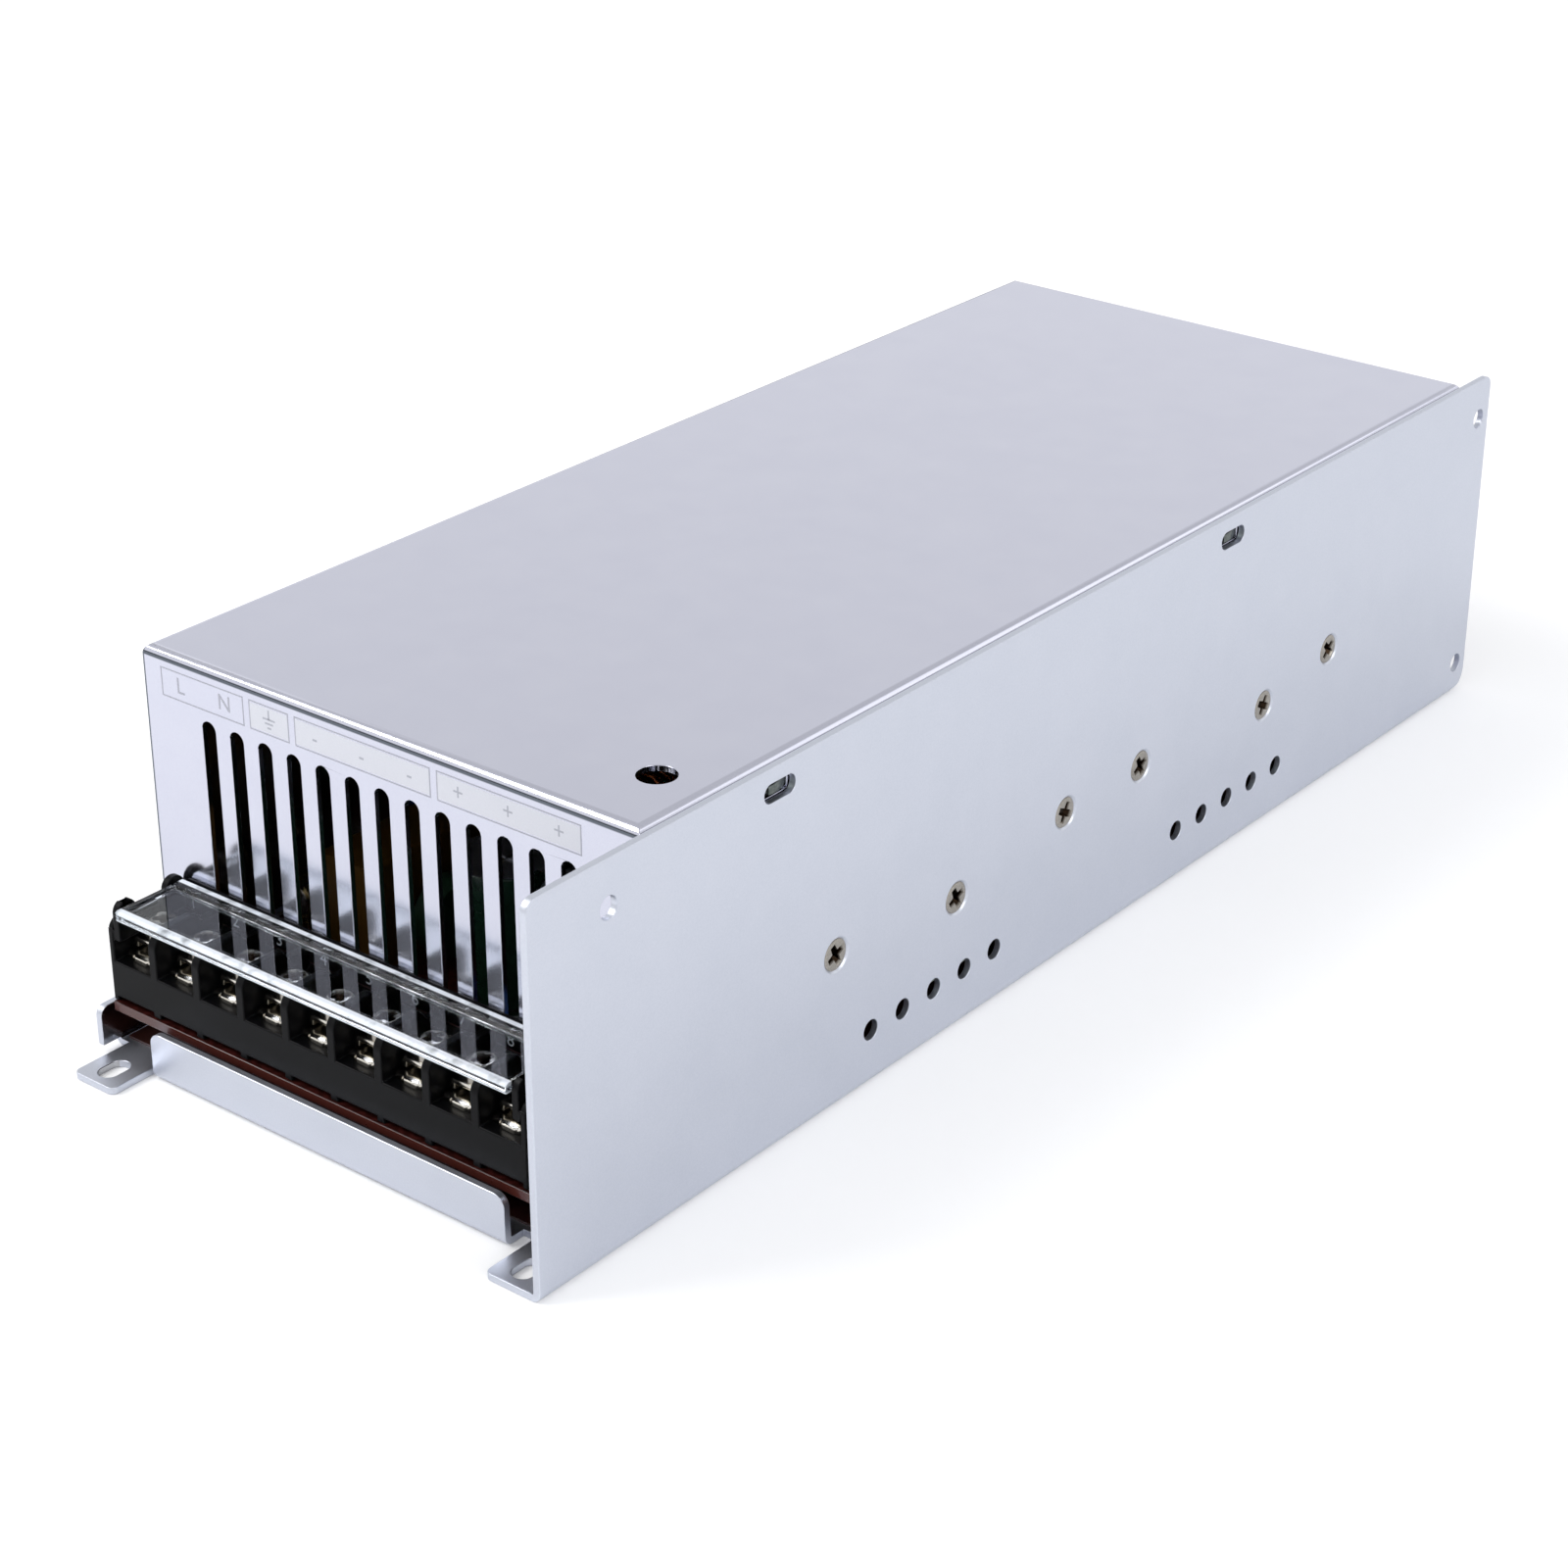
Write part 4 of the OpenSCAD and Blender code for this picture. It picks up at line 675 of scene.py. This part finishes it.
def laminate(name, mask, edge, copper_pitch):
    """Paper laminate under a solder mask: the mask shows wide tracks beneath it, and the sheared edge is raw."""
    material = finish(name, *mask, 0.6, 0.3, 0.01, Coat_Weight=0.4, Coat_Roughness=0.12)
    tree = material.node_tree
    place = add(tree, "ShaderNodeTexCoord")
    # tracks: blocky bands at right angles, as wide as a power track
    cells = add(tree, "ShaderNodeTexVoronoi", {"distance": "MANHATTAN", "feature": "F1",
                "Scale": 1 / (copper_pitch * MM), "Randomness": 0.75}, {"Vector": place.outputs["Object"]})
    band = math_of("PINGPONG", cells.outputs["Distance"], 0.12)
    toned(material, ranged(band, 0.045, 0.06), "#C4C0B8", blend_type="MULTIPLY")
    facing = add(tree, "ShaderNodeNewGeometry")
    up = add(tree, "ShaderNodeSeparateXYZ", links={0: facing.outputs["True Normal"]})
    toned(material, math_of("LESS_THAN", math_of("ABSOLUTE", up.outputs["Z"]), 0.5), edge)
    return material


board_mask = laminate("FR-1 paper laminate, red-brown mask", ("#33120F", "#451A16"), "#4A211A", 9.0)
edged_copy("circuit_board", 0.1, "board_laminate", board_mask, segments=1)

# ---------------------------------------------------------------- terminal block
# One moulding of black resin: ten partitions over raised feet, a sloping shelf and four ears for the cover.

# Glass-filled black resin: near black, with the fine grain of a spark-eroded mould and a soft sheen.
black_resin = finish("glass-filled PBT, black, moulded", "#050506", "#0A0A0C", 0.22, 0.36, 0.006,
                     Specular_IOR_Level=0.12)
edged_copy("terminal_block", 0.22, "block_resin", black_resin)

# A thin black strip stuck to the wall behind the block, with white pad-printed numbers, one for each terminal.
white_ink = finish("white pad-printing ink", "#E4E6EA", "#F6F7FA", 0.2, 0.5, 0.002)
strip_vinyl = finish("black vinyl strip", "#0B0B0D", "#131317", 0.4, 0.4, 0.004, Specular_IOR_Level=0.15)
block_low, block_high = box_of("terminal_block")
tongue_at = solid_centres("terminal_tongues")
STRIP_FRONT = -106.08 * MM
STRIP_BACK = -105.91 * MM
STRIP_LOW = 19.2 * MM
STRIP_HIGH = 25.2 * MM
NUMBER_Z = 20.6 * MM
NUMBER_H = 3.1 * MM
NUMBER_LEFT = 1.1 * MM
strip = bmesh.new()
strip_size = Vector((block_high.x - block_low.x - 5 * MM, STRIP_BACK - STRIP_FRONT, STRIP_HIGH - STRIP_LOW))
strip_at = Vector(((block_low.x + block_high.x) / 2, (STRIP_FRONT + STRIP_BACK) / 2, (STRIP_LOW + STRIP_HIGH) / 2))
bmesh.ops.create_cube(strip, size=1, matrix=Matrix.Translation(strip_at) @ Matrix.Diagonal((*strip_size, 1)))
corners_up = [e for e in strip.edges if abs((e.verts[0].co - e.verts[1].co).y) > strip_size.y / 2]
bmesh.ops.bevel(strip, geom=corners_up, offset=0.8 * MM, segments=4, affect="EDGES", profile=0.5)
numbers = [(shaped(strip, "number_strip"), Matrix(), 1)]
for i, (middle, _, _) in enumerate(tongue_at):
    spot = front_at(middle.x - NUMBER_LEFT, STRIP_FRONT - INK_LIFT, NUMBER_Z)
    numbers.append((text_mesh(str(i + 1), NUMBER_H), spot, 0))
extra("terminal_numbers", joined("terminal_numbers", numbers), "block_resin", white_ink, strip_vinyl)

# ---------------------------------------------------------------- terminals
# Nine in a row: a stamped tongue of tinned brass, a square wire clamp with turned-down cheeks,
# and a pan-head screw that holds both.

tin_plate = finish("tinned brass, stamped", "#C6C0B2", "#EFEAE0", 0.35, 0.16, 0.006, 1.0)


def row_tree():
    """Geometry nodes that repeat a part in a row along X."""
    tree, given = tree_with("row of parts", {"Part": "Geometry", "Count": "Int", "Pitch": "Float", "Start": "Vector"})
    step = add(tree, "ShaderNodeCombineXYZ", links={0: given["Pitch"]})
    points = add(tree, "GeometryNodeMeshLine", {"mode": "OFFSET"},
                 {"Count": given["Count"], "Start Location": given["Start"], "Offset": step.outputs[0]})
    return ended(tree, given, add(tree, "GeometryNodeInstanceOnPoints", links={
        "Points": points.outputs[0], "Instance": given["Part"]}))


parts_in_row = row_tree()


def extruded(name, loops, low, high, bevel):
    """A stamped blank between two heights, its edges broken, from an XY outline and that of its hole."""
    bm = bmesh.new()
    edges = []
    for loop in loops:
        verts = [bm.verts.new((x, y, low)) for x, y in loop]
        edges += [bm.edges.new((verts[k], verts[(k + 1) % len(verts)])) for k in range(len(verts))]
    bmesh.ops.triangle_fill(bm, use_beauty=True, use_dissolve=True, edges=edges)
    raised = bmesh.ops.extrude_face_region(bm, geom=list(bm.faces))
    for item in raised["geom"]:
        if isinstance(item, bmesh.types.BMVert):
            item.co.z = high
    bmesh.ops.recalc_face_normals(bm, faces=bm.faces)
    sharp = [e for e in bm.edges if len(e.link_faces) == 2 and e.calc_face_angle() > math.radians(40)]
    bmesh.ops.bevel(bm, geom=sharp, offset=bevel, segments=2, profile=0.5, affect="EDGES", clamp_overlap=True)
    return shaped(bm, name, 40)


def in_row(name, part, centres, material, node):
    """A row of a part whose mesh is at its own origin, standing for a node."""
    pitch = centres[1][0].x - centres[0][0].x
    start = centres[0][0]
    grown(name, parts_in_row, part, {"Count": len(centres), "Pitch": pitch, "Start": tuple(start),
                                     "Finish": material}, node)


def both_sides(points):
    """A run of points on the left, followed by its mirror image on the right."""
    return points + [(-x, y) for x, y in reversed(points)]


# the tongue: a wide body with a round-cornered nose, which the screw passes through
clamp_at = solid_centres("terminal_clamps")
tongue_half = (tongue_at[0][2] - tongue_at[0][1]) / 2
NOSE = 1.7 * MM
CORNER = 0.5 * MM
shoulder = tongue_half.y - 7.6 * MM
outline = both_sides([(-tongue_half.x, shoulder), (-NOSE - CORNER, shoulder), (-NOSE, shoulder - CORNER),
                      (-NOSE, -tongue_half.y + CORNER), (-NOSE + CORNER, -tongue_half.y)])
outline += [(tongue_half.x, tongue_half.y), (-tongue_half.x, tongue_half.y)]
screw_in_tongue = clamp_at[0][0].y - tongue_at[0][0].y
in_row("terminal_tongues_stamped",
       extruded("tongue", [outline, ring_of(20, 1.75 * MM, 0, screw_in_tongue)], -tongue_half.z,
                tongue_half.z, 0.12 * MM),
       tongue_at, tin_plate, "terminal_tongues")

# the clamp: a square plate with two cheeks turned down over round bends
half, _, top = (clamp_at[0][2] - clamp_at[0][1]) / 2
CLAMP_T = 0.8 * MM
section = both_sides([(-half, -top), (-half, top - CORNER), (-half + 0.3 * CORNER, top - 0.3 * CORNER),
                      (-half + CORNER, top)])
section += [(-x, z) for x, z in both_sides([(-half + CLAMP_T, -top), (-half + CLAMP_T, top - CLAMP_T)])]
clamp = extruded("clamp", [section], -half, half, 0.1 * MM)
clamp.transform(Matrix.Rotation(math.pi / 2, 4, "X"))
in_row("terminal_clamps_stamped", clamp, clamp_at, tin_plate, "terminal_clamps")

screw_at = solid_centres("terminal_screws")
screw_size = screw_at[0][2] - screw_at[0][1]
SCREW_HEAD_H = 2.3 * MM
terminal_screw = screw_mesh("terminal_screw", 3.5 * MM, screw_size.z - SCREW_HEAD_H, screw_size.x,
                            SCREW_HEAD_H, False)
at_points("terminal_screws_driven", terminal_screw, [(m.x, m.y, h.z - SCREW_HEAD_H) for m, _, h in screw_at],
          (0, 0, 1), nickel_plate, 0.2, 0.9, 3, "terminal_screws")

# ---------------------------------------------------------------- terminal cover
# A clear flap moulded in one piece, with a deep front rim and two hinge pins that snap into the block's ears.

flap_low, flap_high = box_of("terminal_cover")
clear_resin = finish("clear polycarbonate, moulded", "#EAF2F8", "#F6FAFF", 6.0, 0.02, 0.0, IOR=1.42)
tree = clear_resin.node_tree
shader = tree.nodes["Principled BSDF"]
axes = axes_of(clear_resin)
# Painted highlights: the resin is made white and hazy along both corners of the front rim, over the rear rib and at
# both ends, as painted glints of the lamps.
RIM_MIDDLE = 24.65 * MM
RIB_W = 1.5 * MM
front = ranged(axes["Y"], flap_low.y + 1.3 * MM, flap_low.y + 1.1 * MM)
corners = math_of("MAXIMUM", ranged(axes["Z"], RIM_MIDDLE + 0.2 * MM, RIM_MIDDLE + 0.4 * MM),
                  ranged(axes["Z"], RIM_MIDDLE - 0.35 * MM, RIM_MIDDLE - 0.55 * MM))
rear = math_of("MULTIPLY", ranged(axes["Y"], flap_high.y - RIB_W, flap_high.y - RIB_W + 0.3 * MM),
               ranged(axes["Z"], RIM_MIDDLE + 0.2 * MM, RIM_MIDDLE + 0.4 * MM))
ends = math_of("MAXIMUM", ranged(axes["X"], flap_low.x + 0.8 * MM, flap_low.x + 0.5 * MM),
               ranged(axes["X"], flap_high.x - 0.8 * MM, flap_high.x - 0.5 * MM))
# ground is the mask of these painted highlights
ground = math_of("MAXIMUM", math_of("MAXIMUM", math_of("MULTIPLY", front, corners), rear), ends)
flow = add(tree, "ShaderNodeTexNoise", {"Scale": 1 / (3 * MM), "Detail": 2.0},
           {"Vector": add(tree, "ShaderNodeTexCoord").outputs["Object"]})
painted_glint = math_of("MULTIPLY", ground, ranged(flow.outputs[0], 0.3, 0.5, 0.4, 0.92))
tree.links.new(ranged(painted_glint, 0, 1, 1, 0), shader.inputs["Transmission Weight"])
tree.links.new(ranged(ground, 0, 1, 0.02, 0.12), shader.inputs["Roughness"])
edged_copy("terminal_cover", 0.2, "clear_resin", clear_resin, body="terminal_cover", segments=3)

# ---------------------------------------------------------------- devices on the side plate
# Power transistors and small rectifiers in moulded packages, clamped against the plate over silicone pads
# by the side screws and their flanged nuts, so that the plate cools them.

# Zinc-plated steel nuts: pale, slightly blue and dull beside the nickel.
zinc_plate = finish("zinc-plated steel nut", "#A9ADB2", "#C6CACD", 0.3, 0.34, 0.006, 1.0)
edged_copy("device_nuts", 0.12, "nut_steel", zinc_plate)

# Silicone-coated glass cloth: a soft grey-green with a fine weave-like tooth.
edged_copy("device_pads", 0.04, "pad_silicone",
           finish("silicone-coated glass cloth", "#858E87", "#9DA69F", 0.5, 0.75, 0.03), segments=1)

# Moulded epoxy: charcoal and slightly rough, paler where the mould was worn.
package_epoxy = finish("moulded epoxy package", "#1A1B1D", "#2A2B2E", 0.15, 0.5, 0.015)


def tin_legs(piece, top):
    """Paints what lies under a height in a piece's second material, as its tinned legs."""
    paint(piece, lambda at, normal: int(at.z < top))


for node, package_h in (("power_devices", 20.8 * MM), ("small_devices", 15.6 * MM)):
    tin_legs(edged_copy(node, 0.18, "package_epoxy", package_epoxy, tin_plate),
             box_of(node)[1].z - package_h - 0.05 * MM)

# ---------------------------------------------------------------- trimmer and lamp
# A blue cermet trimmer with a slotted white rotor under the cover's round hole, and a small green lamp.

edged_copy("trimmer_body", 0.25, "trimmer_blue",
           finish("glass-filled nylon, blue", "#234E93", "#3263AE", 0.25, 0.42, 0.012))
edged_copy("trimmer_rotor", 0.12, "trimmer_white",
           finish("acetal, natural white", "#DCDAD1", "#EDEBE3", 0.4, 0.38, 0.006), body="trimmer_rotor")
lens_green = finish("tinted epoxy lens, green", "#2E9A46", "#4CC266", 1.5, 0.12, 0.0, Transmission_Weight=0.55,
                    IOR=1.52)
edged_copy("status_led", 0.08, "lamp_green", lens_green, angle=50)

# ---------------------------------------------------------------- fuse
# A glass tube fuse with pressed end caps, held in two spring clips of tinned bronze.

edged_copy("fuse_tube", 0.1, "fuse_glass",
           finish("soda glass tube", "#EEF6F4", "#FAFFFE", 4.0, 0.02, 0.0, Transmission_Weight=1.0, IOR=1.5))
edged_copy("fuse_caps", 0.25, "fuse_cap", nickel_plate)
edged_copy("fuse_clips", 0.06, "fuse_clip",
           finish("phosphor bronze, tinned", "#A08C57", "#CDBB8A", 0.4, 0.28, 0.006, 1.0))

# ---------------------------------------------------------------- small mains parts
# A boxed film capacitor, three ceramic discs dipped in blue epoxy, and a thermistor against the inrush.

# Flame-retardant box of smooth polyester: its yellow is darkened to a deep amber as painted shade, for it stands deep
# in the case.
edged_copy("filter_capacitor", 0.3, "film_capacitor_yellow",
           finish("PBT box, yellow darkened as painted shade", "#45300C", "#5A3D10", 0.4, 0.35, 0.01))

# Dipped epoxy: glossy, with the soft dimples of a dip coat.
dipped_blue = finish("dipped epoxy, blue", "#1E4E94", "#3269B4", 1.2, 0.3, 0.08, Coat_Weight=0.3)
dipped_green = finish("dipped epoxy, dark green", "#16301F", "#23452F", 1.2, 0.45, 0.1)
board_top = box_of("circuit_board")[1].z
for node, coat, slot, leg in (("safety_capacitors", dipped_blue, "ceramic_blue", 0.75 * MM),
                              ("thermistor", dipped_green, "thermistor_green", 1.05 * MM)):
    tin_legs(edged_copy(node, 0.22, slot, coat, tin_plate, angle=45), board_top + leg)

# ---------------------------------------------------------------- line filter and output choke
# Enamelled copper wire wound by hand round powder-coated ring cores, in two halves, one turn beside the next.


def ring_winding_tree():
    """Geometry nodes that lay turns of round wire about a ring core, on both its halves."""
    tree, given = tree_with("ring winding", {"Start": "Geometry", "Turns": "Int", "Steps": "Int", "Inner": "Float",
                            "Outer": "Float", "Height": "Float", "Wire": "Float", "Span": "Float", "Foot": "Vector"})
    steps = math_of("MULTIPLY", given["Turns"], given["Steps"])
    line = add(tree, "GeometryNodeMeshLine", links={"Count": math_of("ADD", steps, 1)})
    index = add(tree, "GeometryNodeInputIndex").outputs[0]
    along = math_of("DIVIDE", index, steps)
    round_wire = math_of("MULTIPLY", math_of("MULTIPLY", along, given["Turns"]), 2 * math.pi)
    around = math_of("MULTIPLY", math_of("SUBTRACT", along, 0.5), given["Span"])
    across, up = math_of("COSINE", round_wire), math_of("SINE", round_wire)
    # a rounded square loop: the wire lies flat on the core's faces and turns at its corners
    powers = [math_of("POWER", math_of("ABSOLUTE", side), 4.0) for side in (across, up)]
    length = math_of("POWER", math_of("ADD", *powers), 0.25)
    wall = math_of("SUBTRACT", given["Outer"], given["Inner"])
    half_w = math_of("MULTIPLY", math_of("ADD", wall, given["Wire"]), 0.5)
    half_h = math_of("MULTIPLY", math_of("ADD", given["Height"], given["Wire"]), 0.5)
    middle = math_of("MULTIPLY", math_of("ADD", given["Outer"], given["Inner"]), 0.5)
    radius = math_of("ADD", middle, math_of("MULTIPLY", half_w, math_of("DIVIDE", across, length)))
    rise = math_of("ADD", half_h, math_of("MULTIPLY", half_h, math_of("DIVIDE", up, length)))
    spot = add(tree, "ShaderNodeCombineXYZ", links={
        0: math_of("MULTIPLY", radius, math_of("COSINE", around)),
        1: math_of("MULTIPLY", radius, math_of("SINE", around)),
        2: math_of("ADD", rise, math_of("MULTIPLY", given["Wire"], 0.5))})
    bent = add(tree, "GeometryNodeSetPosition", links={"Geometry": line.outputs[0], "Position": spot.outputs[0]})
    curve = add(tree, "GeometryNodeMeshToCurve", links={"Mesh": bent.outputs[0]})
    section = add(tree, "GeometryNodeCurvePrimitiveCircle", {"Resolution": 8},
                  {"Radius": math_of("MULTIPLY", given["Wire"], 0.5)})
    wire = add(tree, "GeometryNodeCurveToMesh", {"Fill Caps": True},
               {"Curve": curve.outputs[0], "Profile Curve": section.outputs[0]})
    soft = add(tree, "GeometryNodeSetShadeSmooth", links={"Geometry": wire.outputs[0]})
    other = add(tree, "GeometryNodeTransform", {"Rotation": (0, 0, math.pi)}, {"Geometry": soft.outputs[0]})
    both = add(tree, "GeometryNodeJoinGeometry")
    tree.links.new(soft.outputs[0], both.inputs[0])
    tree.links.new(other.outputs[0], both.inputs[0])
    return ended(tree, given, add(tree, "GeometryNodeTransform", links={
        "Geometry": both.outputs[0], "Translation": given["Foot"]}))


ring_winding = ring_winding_tree()
# Polyurethane-enamelled copper: warm, reddish and glossy.
enamelled_copper = finish("enamelled copper wire", "#8E4218", "#B8622C", 0.5, 0.22, 0.01, 0.85, Coat_Weight=0.5)
# Epoxy powder coats on the cores: matt with a fine orange peel.
core_green = finish("epoxy powder coat, green", "#225A39", "#2F7048", 0.35, 0.5, 0.03)
core_yellow = finish("epoxy powder coat, yellow", "#C4AE2C", "#DCC748", 0.35, 0.5, 0.03)
for core, winding, coat, slot, bore_r, turns, span in (
        ("line_filter_core", "line_filter_windings", core_green, "filter_core_green", 7.5, 9, 122),
        ("output_choke_core", "output_choke_winding", core_yellow, "choke_core_yellow", 8.2, 11, 152)):
    edged_copy(core, 0.8, slot, coat, segments=3)
    low, high = box_of(core)
    # the wire fills most of the room that its winding has, and the core stands on its lower turns
    wire = 0.86 * (box_of(winding)[1].x - high.x)
    grown(winding + "_wire", ring_winding, bpy.data.meshes.new("start"), {
        "Turns": turns, "Steps": 16, "Inner": bore_r * MM, "Outer": (high.x - low.x) / 2, "Height": high.z - low.z,
        "Wire": wire, "Span": math.radians(span), "Foot": ((low.x + high.x) / 2, (low.y + high.y) / 2, low.z - wire),
        "Finish": enamelled_copper}, winding)

# ---------------------------------------------------------------- bridge rectifier
# A flat moulded package on edge, with four flat leads and a mounting hole.

tin_legs(edged_copy("bridge_rectifier", 0.3, "package_epoxy", package_epoxy, tin_plate), board_top + 2.45 * MM)

# ---------------------------------------------------------------- capacitors
# Aluminium cans in shrunk PVC sleeves with a pale polarity stripe, rolled over a rubber seal,
# and scored on top so that they open safely.

can_top = finish("aluminium can, etched", "#B9BCC0", "#D4D7DA", 0.3, 0.35, 0.006, 1.0)
sleeve_blue = finish("shrunk PVC sleeve, dark blue", "#141D33", "#1F2B47", 1.5, 0.24, 0.02)
sleeve_green = finish("shrunk PVC sleeve, dark green", "#12271C", "#1C382A", 1.5, 0.24, 0.02)
stripe_grey = finish("printed stripe on PVC", "#8E959C", "#A3AAB0", 0.8, 0.3, 0.01)
for node, sleeve, slot in (("bulk_capacitors", sleeve_blue, "can_sleeve_blue"),
                           ("output_capacitors", sleeve_green, "can_sleeve_green")):
    cans = solid_centres(node)
    piece = edged_copy(node, 0.35, slot, sleeve, stripe_grey, can_top, segments=3, angle=40)

    def can_face(at, normal):
        middle, low, high = min(cans, key=lambda can: (can[0].xy - at.xy).length)
        radius = (high.x - low.x) / 2
        out = (at.xy - middle.xy).length
        if at.z > high.z - 1.2 * MM and out < radius - 1.15 * MM:
            return 2
        turn = math.degrees(math.atan2(at.y - middle.y, at.x - middle.x))
        return 1 if abs((turn + 60) % 360 - 180) < 20 and out > radius * 0.8 and abs(normal.z) < 0.5 else 0

    paint(piece, can_face)

# ---------------------------------------------------------------- transformer
# Two ferrite E-halves closed round a bobbin, whose windings are wrapped in yellow polyester tape.

# Sintered ferrite: dark grey ceramic with a fine sparkle and ground faces.
edged_copy("transformer_core", 0.35, "ferrite",
           finish("sintered ferrite, ground", "#26272B", "#3A3B41", 0.5, 0.48, 0.02, cells=True))
# Polyester tape: smooth and glossy, with the faint ridges of the turns beneath.
edged_copy("transformer_winding", 0.5, "winding_tape",
           finish("polyester tape, yellow", "#B99520", "#D9B83A", 0.9, 0.22, 0.05, stretch=(8, 8, 1)), segments=3)

# ---------------------------------------------------------------- control card
# A small green board on edge, with two moulded chips.

edged_copy("control_board", 0.06, "card_green",
           laminate("FR-4 laminate, green mask", ("#1C4E2C", "#28633A"), "#B9AE7C", 4.0), segments=1)
edged_copy("control_chips", 0.15, "package_epoxy", package_epoxy)

# ---------------------------------------------------------------- fan
# A moulded frame with a round duct, whose four struts carry the motor; a seven-bladed rotor turns about it.

fan_resin = finish("glass-filled PBT, black, fan", "#191A1C", "#26272A", 0.3, 0.42, 0.015)
edged_copy("fan_frame", 0.25, "fan_resin", fan_resin)
edged_copy("fan_rotor", 0.15, "fan_resin",
           finish("nylon, black, moulded blades", "#202124", "#303135", 0.4, 0.3, 0.01), body="fan_rotor")
edged_copy("fan_stator", 0.3, "winding_copper", enamelled_copper)
# a plain silver label on the motor's seat, seen through the finger guard
LABEL_R = 10.6 * MM
seat_y = box_of("fan_frame")[1].y
hub_low, hub_high = box_of("fan_rotor")
label = bmesh.new()
label_at = front_at((hub_low.x + hub_high.x) / 2, seat_y + 0.02 * MM, (hub_low.z + hub_high.z) / 2)
bmesh.ops.create_cone(label, cap_ends=True, segments=64, radius1=LABEL_R, radius2=LABEL_R, depth=0.03 * MM,
                      matrix=label_at)
extra("fan_label", shaped(label, "fan_label"), "fan_resin",
      finish("silvered polyester label", "#A9ABB0", "#C4C6CA", 0.8, 0.32, 0.004, 0.8))

# ---------------------------------------------------------------- voltage selector
# A slide switch behind the window in the left wall: a black body and a red slider with a driver's slot.

edged_copy("selector_body", 0.15, "fan_resin", fan_resin)
edged_copy("selector_slider", 0.2, "selector_red",
           finish("ABS, signal red", "#A81C14", "#CC3024", 0.3, 0.35, 0.01), body="selector_slider")

low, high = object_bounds()
